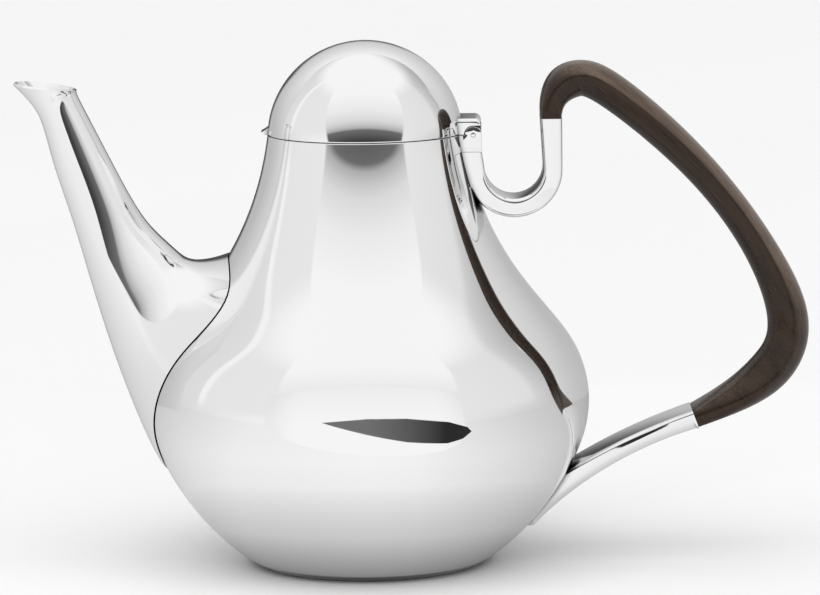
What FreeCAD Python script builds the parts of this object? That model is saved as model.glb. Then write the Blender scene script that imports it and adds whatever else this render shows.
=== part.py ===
import FreeCAD, Part
import math
import os
import re
import Sketcher

# A silver coffee pot with a hinged lid and a wooden handle, in millimetres.
# The origin is the centre of the foot, +Z is up, the spout points to -X and the handle to +X.

SIZES = {
    # Sheet metal
    "wall": 1.0,
    # Pear-shaped body, from the foot up to the mouth
    "foot_radius": 35.5,
    "foot_edge_radius": 6.0,
    "lower_curve_radius": 85.0,
    "belly_radius": 71.8,
    "belly_height": 52.8,
    "belly_curve_radius": 37.0,
    "shoulder_angle": 39.5,
    "neck_curve_share": 0.582,
    "neck_angle": 12.5,
    "mouth_radius": 31.5,
    "mouth_height": 140.0,
    "mouth_ring_height": 4.0,
    "mouth_ring_width": 1.2,
    # Lid
    "lid_gap": 0.15,
    "lid_height": 29.85,
    "lid_angle": 15.0,
    "bezel_depth": 5.0,
    "bezel_wall": 0.8,
    "bezel_clearance": 0.6,
    "bezel_flange": 1.0,
    "tip_reach": 2.0,
    "tip_height": 5.2,
    "tip_edge": 0.9,
    "tip_curve_radius": 8.0,
    "tip_width": 8.0,
    "tip_root_depth": 4.0,
    # Hinge
    "band_width": 19.0,
    "band_edge_radius": 1.2,
    "pin_offset": 3.2,
    "pin_diameter": 1.5,
    "pin_clearance": 0.04,
    "knuckle_radius": 2.75,
    "knuckle_gap": 0.25,
    "knuckle_width": 7.0,
    "leaf_height": 5.2,
    "leaf_corner_radius": 2.0,
    "hinge_block_drop": 5.6,
    # Upper bracket
    "bend_slant": 0.9,
    "bend_drop": 11.4,
    "bend_radius": 9.5,
    "bend_tail_angle": 25.0,
    "bracket_thickness": 6.0,
    "bracket_root_depth": 9.0,
    "arm_rise": 16.2,
    "upper_joint_thickness": 6.9,
    # Lower bracket
    "lower_joint_gap": 34.0,
    "lower_joint_height": 46.4,
    "lower_joint_lean": 20.6,
    "lower_joint_thickness": 6.2,
    "tail_height": 12.2,
    "tail_thickness": 1.3,
    "tail_root_depth": 6.0,
    "tail_upper_height": 25.0,
    "lower_edge_curve_radius": 125.0,
    "upper_edge_curve_radius": 200.0,
    # Pegs between the brackets and the wood
    "peg_diameter": 3.6,
    "peg_in_silver": 6.0,
    "peg_in_wood": 9.0,
    "peg_clearance": 0.05,
    # Wooden handle: the flat and the ridge of its carved section along the grip
    "grip_width": 19.0,
    "grip_flat": 8.0,
    "grip_ridge": 2.0,
    # Strainer behind the spout
    "spout_opening_radius": 17.0,
    "strainer_depth": 8.5,
    "strainer_wall": 0.8,
    "strainer_hole": 3.6,
    "strainer_pitch": 6.0,
    "strainer_height": 69.3,
    "strainer_rise": 22.0,
}

# Stations of the spout, from inside the body to the lip: how far each stands out beyond the belly,
# its height, the rise of the spout's axis there, and the section's length and width.
SPOUT = {
    "spout_root": (-21.1, 67.8, 21.0, 77.7, 70.0),
    "spout_skirt": (-15.2, 69.3, 22.0, 67.4, 61.0),
    "spout_flare": (-4.8, 78.4, 28.0, 45.1, 41.0),
    "spout_bell": (1.4, 88.9, 36.0, 34.0, 31.5),
    "spout_throat": (8.4, 103.0, 48.0, 23.7, 22.5),
    "spout_stem": (14.9, 119.0, 60.0, 17.9, 17.2),
    "spout_reed": (21.3, 135.2, 68.0, 14.9, 14.6),
    "spout_collar": (26.5, 148.2, 71.0, 13.2, 14.0),
    "spout_lip": (32.1, 156.7, 94.8, 19.1, 17.5),
}

# Stations of the wooden handle between its two joints: place from the nearer joint, the direction
# of the grip there, its thickness, and how far the squared end has become the carved grip.
HANDLE_UPPER = {
    "handle_rise": (0.9, 5.8, 75.0, 8.8, 0.4),
    "handle_shoulder": (4.9, 10.9, 41.0, 12.5, 0.8),
    "handle_crown": (10.3, 12.4, -3.0, 12.0, 1.0),
    "handle_brow": (17.8, 9.2, -40.0, 11.8, 1.0),
    "handle_arm": (46.5, -15.7, -47.0, 10.5, 1.0),
}
HANDLE_LOWER = {
    "handle_forearm": (23.9, 50.4, -61.0, 11.2, 1.0),
    "handle_elbow": (30.9, 28.1, -91.0, 13.6, 1.0),
    "handle_heel": (25.7, 15.9, -128.0, 14.0, 1.0),
    "handle_shank": (15.2, 7.6, -151.0, 11.2, 0.7),
}

SPOUT_FIELDS = ("reach", "height", "axis_rise", "length", "width")
HANDLE_FIELDS = ("across", "up", "turn", "thickness", "carving")
ALL_STATIONS = ((SPOUT, SPOUT_FIELDS), (HANDLE_UPPER, HANDLE_FIELDS), (HANDLE_LOWER, HANDLE_FIELDS))
for stations, fields in ALL_STATIONS:
    for station, values in stations.items():
        SIZES.update({f"{station}_{field}": value for field, value in zip(fields, values)})

# Places that several pieces share, as formulas of the sizes
PIN_X = "(mouth_radius + pin_offset)"
PIN_Z = "mouth_height"
LID_SEAT = "(mouth_height + lid_gap)"
FACE_X = "(mouth_radius + pin_offset + knuckle_radius)"
SPLIT_Z = "(mouth_height - hinge_block_drop)"
SLOT_RADIUS = "(knuckle_radius + knuckle_gap)"
BEND_X = f"({FACE_X} + bend_slant + bend_radius)"
BEND_Z = "(mouth_height - bend_drop)"
ARM_OUTER_X = f"({BEND_X} + bend_radius + bracket_thickness)"
UPPER_JOINT_X = f"({ARM_OUTER_X} - upper_joint_thickness / 2)"
UPPER_JOINT_Z = f"({BEND_Z} + arm_rise)"
LOWER_JOINT_X = "(belly_radius + lower_joint_gap)"
LOWER_JOINT_Z = "lower_joint_height"
BAND_ROOT_X = "(mouth_radius - bracket_root_depth)"
# The shoulder line and the neck line meet at a corner. The neck's curve rounds it, and takes up a
# share of the shorter of the two runs that lead to it, from the belly and from the mouth.
MOUTH_IN = "(mouth_radius - belly_radius + belly_curve_radius - belly_curve_radius * cos(shoulder_angle))"
MOUTH_UP = "(mouth_height - belly_height - belly_curve_radius * sin(shoulder_angle))"
NECK_TURN = "(shoulder_angle - neck_angle)"
NECK_RUN = f"(({MOUTH_IN} * cos(shoulder_angle) + {MOUTH_UP} * sin(shoulder_angle)) / sin({NECK_TURN}))"
SHOULDER_RUN = f"(-({MOUTH_IN} * cos(neck_angle) + {MOUTH_UP} * sin(neck_angle)) / sin({NECK_TURN}))"
NECK_CURVE = f"(neck_curve_share * min({NECK_RUN}; {SHOULDER_RUN}) / tan({NECK_TURN} / 2))"

RING_BORE = "(mouth_radius - wall / cos(neck_angle) - mouth_ring_width)"
BEZEL_RADIUS = f"({RING_BORE} - bezel_clearance)"

# Rings of holes around the strainer's middle hole, and the turn between the corners of a ring
STRAINER_RINGS = 2
RING_CORNERS = 6
RING_TURN = 60

# Half of the turn between two corners of the eight-sided frame that draws a round section
FRAME_HALF_TURN = 22.5

# Two places nearer than this are the same place
TOUCH = 1e-6

doc = FreeCAD.newDocument("coffee_pot")
sheet = doc.addObject("Spreadsheet::Sheet", "sizes")
for row, (alias, value) in enumerate(SIZES.items(), start=1):
    sheet.set(f"A{row}", alias)
    sheet.set(f"B{row}", str(value))
    sheet.setAlias(f"B{row}", alias)
doc.recompute()


def size(formula):
    """The value of a formula of the sheet's names."""
    return float(sheet.evalExpression(formula))


def linked(formula):
    """The same formula with every name of the sheet written as a reference to its cell."""
    def refer(word):
        return f"sizes.{word.group()}" if word.group() in SIZES else word.group()
    return re.sub(r"[a-z_]{3,}", refer, formula)


def bind(thing, where, formula):
    thing.setExpression(where, linked(formula))


def flat(across, up):
    return FreeCAD.Vector(across, up, 0)


def new_body(name):
    body = doc.addObject("PartDesign::Body", name)
    body.Label = name
    return body


def new_sketch(body, name):
    """A sketch in the XZ plane."""
    plane = next(item for item in body.Origin.OriginFeatures if item.Role == "XZ_Plane")
    sketch = body.newObject("Sketcher::SketchObject", name)
    sketch.AttachmentSupport = (plane, [""])
    sketch.MapMode = "FlatFace"
    return sketch


def dimension(sketch, kind, places, formula):
    """A driving dimension of a sketch, bound to the sheet."""
    index = sketch.addConstraint(Sketcher.Constraint(kind, *places, size(formula)))
    bind(sketch, f"Constraints[{index}]", formula)


def pin_point(sketch, element, end, across, up):
    """Hold one point of an element at a place in the sketch, given by two formulas."""
    for kind, formula in (("DistanceX", across), ("DistanceY", up)):
        dimension(sketch, kind, (-1, 1, element, end), formula)


def outline(sketch, corners, arcs=()):
    """A closed outline through corners given as pairs of formulas.

    arcs holds, by the number of the corner where it starts, the radius formula of each round side
    and the side to which it bulges: 1 for the right of its run, -1 for the left."""
    bends = dict(arcs)
    points = [flat(size(across), size(up)) for across, up in corners]
    sides = []
    for number, start in enumerate(points):
        end = points[(number + 1) % len(points)]
        if number not in bends:
            sides.append((sketch.addGeometry(Part.LineSegment(start, end)), 1, 2))
            continue
        formula, bulge = bends[number]
        radius = size(formula)
        half = (end - start) / 2
        normal = flat(half.y, -half.x).normalize()
        sag = radius - math.sqrt(radius ** 2 - half.Length ** 2)
        middle = start + half + normal * sag * bulge
        side = sketch.addGeometry(Part.Arc(start, middle, end))
        ends = (1, 2) if bulge > 0 else (2, 1)
        sides.append((side, *ends))
    for number, (side, _, finish) in enumerate(sides):
        following, begin, _ = sides[(number + 1) % len(sides)]
        sketch.addConstraint(Sketcher.Constraint("Coincident", side, finish, following, begin))
    for (side, begin, _), (across, up) in zip(sides, corners):
        pin_point(sketch, side, begin, across, up)
    for number, (formula, _) in bends.items():
        dimension(sketch, "Radius", (sides[number][0],), formula)
    return sketch


def revolve(body, sketch, name):
    turned = body.newObject("PartDesign::Revolution", name)
    turned.Profile = sketch
    turned.ReferenceAxis = (sketch, ["V_Axis"])
    turned.Angle = 360
    doc.recompute()
    return turned


def pad(body, sketch, name, width):
    """A sketch in the XZ plane thickened to both sides of it."""
    block = body.newObject("PartDesign::Pad", name)
    block.Profile = sketch
    block.SideType = "Symmetric"
    bind(block, "Length", width)
    doc.recompute()
    return block


def pocket(body, sketch, name, width):
    """A sketch in the XZ plane cut away to both sides of it, which has to remove some of the solid."""
    before = body.Tip.Shape.Volume
    hollow = body.newObject("PartDesign::Pocket", name)
    hollow.Profile = sketch
    hollow.SideType = "Symmetric"
    bind(hollow, "Length", width)
    doc.recompute()
    if hollow.Shape.Volume >= before:
        raise ValueError(f"{name} cuts nothing")
    return hollow


def round_edges(body, solid, name, radius, wanted):
    """Round the edges of a solid that the test picks."""
    edges = [f"Edge{number}" for number, edge in enumerate(solid.Shape.Edges, start=1) if wanted(edge)]
    rounded = body.newObject("PartDesign::Fillet", name)
    rounded.Base = (solid, edges)
    bind(rounded, "Radius", radius)
    doc.recompute()
    return rounded


def cut(name, base, *tools):
    """Take tools away from a piece, one after the other."""
    piece = base
    for number, tool in enumerate(tools, start=1):
        lesser = doc.addObject("Part::Cut", f"{name}_cut_{number}")
        lesser.Base = piece
        lesser.Tool = tool
        piece = lesser
    piece.Label = name
    doc.recompute()
    return piece


def rod(name, radius, length, place, direction):
    """A round rod from a place, given by formulas, along a direction in the XZ plane."""
    cylinder = doc.addObject("Part::Cylinder", name)
    bind(cylinder, "Radius", radius)
    bind(cylinder, "Height", length)
    turn = FreeCAD.Rotation(FreeCAD.Vector(0, 0, 1), direction)
    cylinder.Placement = FreeCAD.Placement(FreeCAD.Vector(size(place[0]), 0, size(place[1])), turn)
    bind(cylinder, "Placement.Base.x", place[0])
    bind(cylinder, "Placement.Base.z", place[1])
    doc.recompute()
    return cylinder


def oval(place, turn, length, width, end_flat, side_flat):
    """The eight corners of a frame that draws a soft closed section.

    The section's length lies in the XZ plane and its width along Y. The flats are the straight
    parts of the frame, along the width at either end and along the length at either side."""
    half = [(length / 2, end_flat / 2), (side_flat / 2, width / 2),
            (-side_flat / 2, width / 2), (-length / 2, end_flat / 2)]
    corners = half + [(across, -aside) for across, aside in reversed(half)]
    seat = FreeCAD.Placement(FreeCAD.Vector(place[0], 0, place[1]),
                             FreeCAD.Rotation(FreeCAD.Vector(0, 1, 0), turn))
    return [seat.multVec(FreeCAD.Vector(across, aside, 0)) for across, aside in corners]


def skin(name, frames):
    """A solid with flat ends whose surface runs smoothly through a row of soft sections."""
    centres = [sum(frame, FreeCAD.Vector()) / len(frame) for frame in frames]
    steps = [0.0]
    for near, far in zip(centres, centres[1:]):
        steps.append(steps[-1] + math.sqrt((far - near).Length))
    rows = []
    for corner in zip(*frames):
        run = Part.BSplineCurve()
        run.interpolate(Points=list(corner), Parameters=steps)
        rows.append(run)
    around = list(range(len(rows) + 1))
    surface = Part.BSplineSurface()
    surface.buildFromPolesMultsKnots([run.getPoles() for run in rows], [1] * len(around),
                                     rows[0].getMultiplicities(), around, rows[0].getKnots(),
                                     True, False, 2, rows[0].Degree)
    side = surface.toShape()
    ends = [edge for edge in side.Edges if edge.isClosed() and not edge.isSeam(side)]
    caps = [Part.Face(Part.Wire([edge])) for edge in ends]
    shell = Part.makeShell([side, *caps])
    shell.sewShape()
    solid = Part.makeSolid(shell)
    if solid.Volume < 0:
        solid.reverse()
    piece = doc.addObject("Part::Feature", name)
    piece.Shape = solid
    piece.Placement = FreeCAD.Placement()
    return piece


def pear_runs(inset="0"):
    """Centres and meeting points of the tangent runs of the body's half outline, moved inward."""
    foot = flat(size("foot_radius"), size("foot_edge_radius"))
    belly = flat(size("belly_radius - belly_curve_radius"), size("belly_height"))
    mouth = flat(size(f"mouth_radius - ({inset}) / cos(neck_angle)"), size("mouth_height"))
    foot_r, lower_r = size(f"foot_edge_radius - ({inset})"), size(f"lower_curve_radius - ({inset})")
    belly_r, neck_r = size(f"belly_curve_radius - ({inset})"), size(f"{NECK_CURVE} + ({inset})")
    shoulder = math.radians(size("shoulder_angle"))
    neck = math.radians(size("neck_angle"))
    shoulder_out = flat(math.cos(shoulder), math.sin(shoulder))
    neck_out = flat(math.cos(neck), math.sin(neck))

    # The lower wall's arc touches the foot's arc and the belly's arc from outside
    between = belly - foot
    reach = between.Length
    along = ((lower_r - foot_r) ** 2 - (lower_r - belly_r) ** 2 + reach ** 2) / (2 * reach)
    aside = math.sqrt((lower_r - foot_r) ** 2 - along ** 2)
    ahead = between / reach
    lower = foot + ahead * along + flat(-ahead.y, ahead.x) * aside

    # The neck's hollow arc touches the shoulder line and the neck line
    belly_end = belly + shoulder_out * belly_r
    shoulder_level = shoulder_out.dot(belly_end) + neck_r
    neck_level = neck_out.dot(mouth) + neck_r
    spread = math.sin(neck - shoulder)
    hollow = flat((shoulder_level * neck_out.y - neck_level * shoulder_out.y) / spread,
                  (neck_level * shoulder_out.x - shoulder_level * neck_out.x) / spread)
    return {
        "foot": foot,
        "lower": lower,
        "belly": belly,
        "neck": hollow,
        "foot_start": foot - flat(0, foot_r),
        "foot_end": lower + (foot - lower).normalize() * lower_r,
        "belly_start": lower + (belly - lower).normalize() * lower_r,
        "belly_end": belly_end,
        "shoulder_end": hollow - shoulder_out * neck_r,
        "neck_start": hollow - neck_out * neck_r,
        "mouth": mouth,
    }


def lower_wall_radius(height):
    """The body's outer radius on its lower wall."""
    centre = pear_runs()["lower"]
    return centre.x + math.sqrt(size("lower_curve_radius") ** 2 - (centre.y - height) ** 2)


def pear(name, inset="0"):
    """The solid pear shape, or the same form inset by a wall.

    Foot, lower wall, belly, shoulder, neck and mouth follow each other in tangent runs."""
    body = new_body(name)
    at = pear_runs(inset)
    inward, outward = f"- ({inset})", f"+ ({inset})"

    def arc(centre, radius, start, end):
        rays = [at[point] - at[centre] for point in (start, end)]
        circle = Part.Circle(at[centre], FreeCAD.Vector(0, 0, 1), size(radius))
        return Part.ArcOfCircle(circle, *(math.atan2(ray.y, ray.x) for ray in rays))

    bottom, top = flat(0, at["foot_start"].y), flat(0, at["mouth"].y)
    sketch = new_sketch(body, f"{name}_outline")
    base_line = sketch.addGeometry(Part.LineSegment(bottom, at["foot_start"]))
    foot_arc = sketch.addGeometry(arc("foot", f"foot_edge_radius {inward}", "foot_start", "foot_end"))
    lower_arc = sketch.addGeometry(arc("lower", f"lower_curve_radius {inward}", "foot_end", "belly_start"))
    belly_arc = sketch.addGeometry(arc("belly", f"belly_curve_radius {inward}", "belly_start", "belly_end"))
    shoulder_line = sketch.addGeometry(Part.LineSegment(at["belly_end"], at["shoulder_end"]))
    neck_arc = sketch.addGeometry(arc("neck", f"{NECK_CURVE} {outward}", "neck_start", "shoulder_end"))
    neck_line = sketch.addGeometry(Part.LineSegment(at["neck_start"], at["mouth"]))
    mouth_line = sketch.addGeometry(Part.LineSegment(at["mouth"], top))
    axis_line = sketch.addGeometry(Part.LineSegment(top, bottom))
    runs = ((base_line, foot_arc, 1), (foot_arc, lower_arc, 1), (lower_arc, belly_arc, 1),
            (belly_arc, shoulder_line, 1), (shoulder_line, neck_arc, 2))
    for first, second, end in runs:
        sketch.addConstraint(Sketcher.Constraint("Tangent", first, 2, second, end))
    sketch.addConstraint(Sketcher.Constraint("Tangent", neck_arc, 1, neck_line, 1))
    for first, second in ((neck_line, mouth_line), (mouth_line, axis_line), (axis_line, base_line)):
        sketch.addConstraint(Sketcher.Constraint("Coincident", first, 2, second, 1))
    sketch.addConstraint(Sketcher.Constraint("PointOnObject", base_line, 1, -2))
    sketch.addConstraint(Sketcher.Constraint("Horizontal", base_line))
    sketch.addConstraint(Sketcher.Constraint("Horizontal", mouth_line))
    sketch.addConstraint(Sketcher.Constraint("Vertical", axis_line))
    pin_point(sketch, foot_arc, 3, "foot_radius", "foot_edge_radius")
    dimension(sketch, "Radius", (foot_arc,), f"foot_edge_radius {inward}")
    dimension(sketch, "Radius", (lower_arc,), f"lower_curve_radius {inward}")
    dimension(sketch, "Radius", (belly_arc,), f"belly_curve_radius {inward}")
    dimension(sketch, "Radius", (neck_arc,), f"{NECK_CURVE} {outward}")
    pin_point(sketch, belly_arc, 3, "belly_radius - belly_curve_radius", "belly_height")
    pin_point(sketch, neck_line, 2, f"mouth_radius - ({inset}) / cos(neck_angle)", "mouth_height")
    for line, formula in ((shoulder_line, "shoulder_angle"), (neck_line, "neck_angle")):
        index = sketch.addConstraint(Sketcher.Constraint("Angle", -2, line, math.radians(size(formula))))
        bind(sketch, f"Constraints[{index}]", f"{formula} * 1 deg")
    revolve(body, sketch, f"{name}_turned")
    return body


def dome(name, inset="0"):
    """The solid lid, or the same form inset by a wall: a leaning rim that runs on into a round crown."""
    body = new_body(name)
    lean = math.radians(size("lid_angle"))
    seat = size(LID_SEAT)
    rim = f"mouth_radius - ({inset}) / cos(lid_angle)"
    rise = f"lid_height - ({inset})"
    crown_r = (size(rim) * math.cos(lean) - size(rise) * math.sin(lean)) / (1 - math.sin(lean))
    top = seat + size(rise)
    centre = flat(0, top - crown_r)
    crown_start = centre + flat(math.cos(lean), math.sin(lean)) * crown_r
    sketch = new_sketch(body, f"{name}_outline")
    rim_line = sketch.addGeometry(Part.LineSegment(flat(size(rim), seat), crown_start))
    crown = Part.Circle(centre, FreeCAD.Vector(0, 0, 1), crown_r)
    crown_arc = sketch.addGeometry(Part.ArcOfCircle(crown, lean, math.pi / 2))
    axis_line = sketch.addGeometry(Part.LineSegment(flat(0, top), flat(0, seat)))
    seat_line = sketch.addGeometry(Part.LineSegment(flat(0, seat), flat(size(rim), seat)))
    sketch.addConstraint(Sketcher.Constraint("Tangent", rim_line, 2, crown_arc, 1))
    for first, second in ((crown_arc, axis_line), (axis_line, seat_line), (seat_line, rim_line)):
        sketch.addConstraint(Sketcher.Constraint("Coincident", first, 2, second, 1))
    sketch.addConstraint(Sketcher.Constraint("PointOnObject", crown_arc, 3, -2))
    sketch.addConstraint(Sketcher.Constraint("PointOnObject", axis_line, 1, -2))
    sketch.addConstraint(Sketcher.Constraint("Vertical", axis_line))
    sketch.addConstraint(Sketcher.Constraint("Horizontal", seat_line))
    pin_point(sketch, rim_line, 1, rim, LID_SEAT)
    dimension(sketch, "DistanceY", (axis_line, 2, axis_line, 1), rise)
    index = sketch.addConstraint(Sketcher.Constraint("Angle", -2, rim_line, lean))
    bind(sketch, f"Constraints[{index}]", "lid_angle * 1 deg")
    revolve(body, sketch, f"{name}_turned")
    return body


# Solid forms of the body and the lid, which also trim whatever is soldered to them, and their hollows
body_form = pear("body_form")
body_hollow = pear("body_hollow", "wall")
lid_form = dome("lid_form")
lid_hollow = dome("lid_hollow", "wall")

SPOUT_AXIS = math.radians(size("strainer_rise"))
SPOUT_WAY = FreeCAD.Vector(-math.cos(SPOUT_AXIS), 0, math.sin(SPOUT_AXIS))
STRAINER_PLACE = ("-(belly_radius + spout_root_reach)", "strainer_height")


def make_base_plate():
    plate = doc.addObject("Part::Cylinder", "base_plate")
    bind(plate, "Radius", "foot_radius")
    bind(plate, "Height", "wall")
    return plate


def make_body_shell(plate):
    opening = rod("spout_opening", "spout_opening_radius", "belly_radius", STRAINER_PLACE, SPOUT_WAY)
    return cut("body_shell", body_form, body_hollow, plate, opening)


def make_mouth_ring():
    body = new_body("mouth_ring")
    sketch = new_sketch(body, "mouth_ring_outline")
    lower = "(mouth_height - mouth_ring_height)"
    outer = "(mouth_radius - wall / cos(neck_angle))"
    outline(sketch, [(RING_BORE, lower), (f"{outer} + mouth_ring_height * tan(neck_angle)", lower),
                     (outer, "mouth_height"), (RING_BORE, "mouth_height")])
    revolve(body, sketch, "mouth_ring_turned")
    return body


def make_spout_strainer():
    """A flat pierced plate that seats all round on the inside of the body, behind the spout."""
    shares = (SPOUT_WAY.x, SPOUT_WAY.z)
    centre = [f"{place} + ({share}) * strainer_depth" for place, share in zip(STRAINER_PLACE, shares)]
    slab = rod("strainer_slab", "spout_root_length / 2", "strainer_wall", centre, SPOUT_WAY)
    plate = doc.addObject("Part::Common", "strainer_plate")
    plate.Base = body_hollow
    plate.Tool = slab
    pitch = size("strainer_pitch")
    aside = FreeCAD.Vector(0, 1, 0)
    upward = SPOUT_WAY.cross(aside)
    start = slab.Placement.Base - SPOUT_WAY * size("strainer_wall")
    drills = []
    for ring in range(STRAINER_RINGS + 1):
        for number in range(max(1, RING_CORNERS * ring)):
            corner, step = divmod(number, max(1, ring))
            outward = math.radians(RING_TURN * corner)
            onward = math.radians(RING_TURN * (corner + 2))
            place = start + (aside * math.cos(outward) + upward * math.sin(outward)) * ring * pitch
            place += (aside * math.cos(onward) + upward * math.sin(onward)) * step * pitch
            drill = doc.addObject("Part::Cylinder", f"strainer_drill_{len(drills)}")
            bind(drill, "Radius", "strainer_hole / 2")
            bind(drill, "Height", "3 * strainer_wall")
            drill.Placement = FreeCAD.Placement(place, FreeCAD.Rotation(FreeCAD.Vector(0, 0, 1), SPOUT_WAY))
            drills.append(drill)
    bundle = doc.addObject("Part::MultiFuse", "strainer_drills")
    bundle.Shapes = drills
    return cut("spout_strainer", plate, bundle)


def spout_form(name, thinner):
    """The solid spout, or its channel where the sections are thinner by two walls."""
    corner = math.tan(math.radians(FRAME_HALF_TURN))
    frames = []
    for station in SPOUT:
        place = (-size(f"belly_radius + {station}_reach"), size(f"{station}_height"))
        length, width = (size(f"{station}_{field} - {thinner}") for field in ("length", "width"))
        turn = size(f"{station}_axis_rise") - 90
        frames.append(oval(place, turn, length, width, width * corner, length * corner))
    return skin(name, frames)


def make_spout_shell():
    outside = spout_form("spout_solid", "0")
    channel = spout_form("spout_channel", "2 * wall")
    return cut("spout_shell", outside, channel, body_form)


def make_lid_dome():
    return cut("lid_dome", lid_form, lid_hollow)


def make_lid_bezel():
    body = new_body("lid_bezel")
    sketch = new_sketch(body, "lid_bezel_outline")
    inside = f"({BEZEL_RADIUS} - bezel_wall)"
    lower = "(mouth_height - bezel_depth)"
    upper = f"({LID_SEAT} + bezel_flange)"
    lid_inside = "(mouth_radius - wall / cos(lid_angle))"
    outline(sketch, [(inside, lower), (BEZEL_RADIUS, lower), (BEZEL_RADIUS, LID_SEAT),
                     (lid_inside, LID_SEAT), (f"{lid_inside} - bezel_flange * tan(lid_angle)", upper),
                     (inside, upper)])
    revolve(body, sketch, "lid_bezel_turned")
    return body


def make_lid_finger_tip():
    body = new_body("finger_tip_blank")
    sketch = new_sketch(body, "finger_tip_outline")
    root = "-(mouth_radius - tip_root_depth)"
    tip = "-(mouth_radius + tip_reach)"
    upper = f"({LID_SEAT} + tip_height)"
    on_dome = "-(mouth_radius - tip_height * tan(lid_angle) - tip_edge)"
    outline(sketch, [(root, LID_SEAT), (root, upper), (on_dome, upper), (tip, f"{LID_SEAT} + tip_edge"),
                     ("-(mouth_radius + tip_edge)", LID_SEAT)], {2: ("tip_curve_radius", -1)})
    pad(body, sketch, "finger_tip_pad", "tip_width")
    return cut("lid_finger_tip", body, lid_form)


def side_edge(edge):
    """Whether an edge lies on the front or back face of a band."""
    half = size("band_width / 2")
    return edge.BoundBox.YLength < TOUCH and abs(abs(edge.BoundBox.YMin) - half) < TOUCH


def pin_bore(body, name, radius):
    """A bore for the hinge pin, right through a piece."""
    sketch = new_sketch(body, f"{name}_outline")
    circle = Part.Circle(flat(size(PIN_X), size(PIN_Z)), FreeCAD.Vector(0, 0, 1), size(radius))
    hole = sketch.addGeometry(circle)
    pin_point(sketch, hole, 3, PIN_X, PIN_Z)
    dimension(sketch, "Radius", (hole,), radius)
    pocket(body, sketch, name, "band_width")


def make_lid_hinge_leaf():
    """The lid's half of the hinge, with its outer corner rounded and the middle knuckle below it."""
    body = new_body("hinge_leaf_blank")
    sketch = new_sketch(body, "hinge_leaf_outline")
    under = f"({PIN_Z} + {SLOT_RADIUS})"
    top = f"({PIN_Z} + leaf_height)"
    recess = f"({PIN_X} - sqrt({SLOT_RADIUS} ^ 2 - lid_gap ^ 2))"
    corner = "leaf_corner_radius"
    outline(sketch, [(BAND_ROOT_X, LID_SEAT), (recess, LID_SEAT), (PIN_X, under), (FACE_X, under),
                     (FACE_X, f"{top} - {corner}"), (f"{FACE_X} - {corner}", top), (BAND_ROOT_X, top)],
            {1: (SLOT_RADIUS, -1), 4: (corner, 1)})
    leaf = pad(body, sketch, "hinge_leaf_pad", "band_width")
    above = size(under) + TOUCH

    def rounded(edge):
        return side_edge(edge) and edge.BoundBox.ZMax > above and edge.BoundBox.XMax > size(PIN_X)
    round_edges(body, leaf, "hinge_leaf_edges", "band_edge_radius", rounded)
    knuckle = new_sketch(body, "lid_knuckle_outline")
    outline(knuckle, [(f"{PIN_X} - knuckle_radius", PIN_Z), (PIN_X, f"{PIN_Z} - knuckle_radius"),
                      (f"{PIN_X} + knuckle_radius", PIN_Z), (f"{PIN_X} + knuckle_radius", under),
                      (PIN_X, f"{top} - {corner}"), (f"{PIN_X} - knuckle_radius", under)],
            {0: ("knuckle_radius", 1), 1: ("knuckle_radius", 1)})
    pad(body, knuckle, "lid_knuckle", "knuckle_width")
    pin_bore(body, "lid_pin_bore", "pin_diameter / 2 + pin_clearance")
    return cut("lid_hinge_leaf", body, lid_form)


def make_hinge_block():
    """The fixed half of the hinge: two cheeks, round about the pin, with a slot between them."""
    body = new_body("hinge_block_blank")
    sketch = new_sketch(body, "hinge_block_outline")
    top = f"({PIN_Z} + knuckle_radius)"
    outline(sketch, [(BAND_ROOT_X, SPLIT_Z), (FACE_X, SPLIT_Z), (FACE_X, PIN_Z), (PIN_X, top),
                     (f"{PIN_X} - knuckle_radius", PIN_Z), (BAND_ROOT_X, PIN_Z)],
            {2: ("knuckle_radius", 1), 3: ("knuckle_radius", 1)})
    pad(body, sketch, "hinge_block_pad", "band_width")
    slot = new_sketch(body, "hinge_slot_outline")
    floor = f"({PIN_Z} - {SLOT_RADIUS})"
    beyond = f"({FACE_X} + wall)"
    above = f"({top} + wall)"
    outline(slot, [(f"{PIN_X} - {SLOT_RADIUS}", PIN_Z), (PIN_X, floor), (beyond, floor), (beyond, above),
                   (f"{PIN_X} - {SLOT_RADIUS}", above)], {0: (SLOT_RADIUS, 1)})
    pocket(body, slot, "hinge_slot", "knuckle_width + 2 * knuckle_gap")
    pin_bore(body, "hinge_pin_bore", "pin_diameter / 2")
    return cut("hinge_block", body, body_form)


def make_hinge_pin():
    pin = doc.addObject("Part::Cylinder", "hinge_pin")
    bind(pin, "Radius", "pin_diameter / 2")
    bind(pin, "Height", "band_width")
    turn = FreeCAD.Rotation(FreeCAD.Vector(1, 0, 0), 90)
    pin.Placement = FreeCAD.Placement(FreeCAD.Vector(), turn)
    bind(pin, "Placement.Base.x", PIN_X)
    bind(pin, "Placement.Base.y", "band_width / 2")
    bind(pin, "Placement.Base.z", PIN_Z)
    return pin


UPWARD = FreeCAD.Vector(0, 0, 1)
LOWER_LEAN = math.radians(size("lower_joint_lean"))
LOWER_WAY = FreeCAD.Vector(-math.cos(LOWER_LEAN), 0, -math.sin(LOWER_LEAN))
UPPER_JOINT = (UPPER_JOINT_X, UPPER_JOINT_Z)
LOWER_JOINT = (LOWER_JOINT_X, LOWER_JOINT_Z)


def peg_hole(name, joint, way, depth):
    return rod(name, "peg_diameter / 2 + peg_clearance", f"{depth} + peg_clearance", joint, way)


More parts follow.
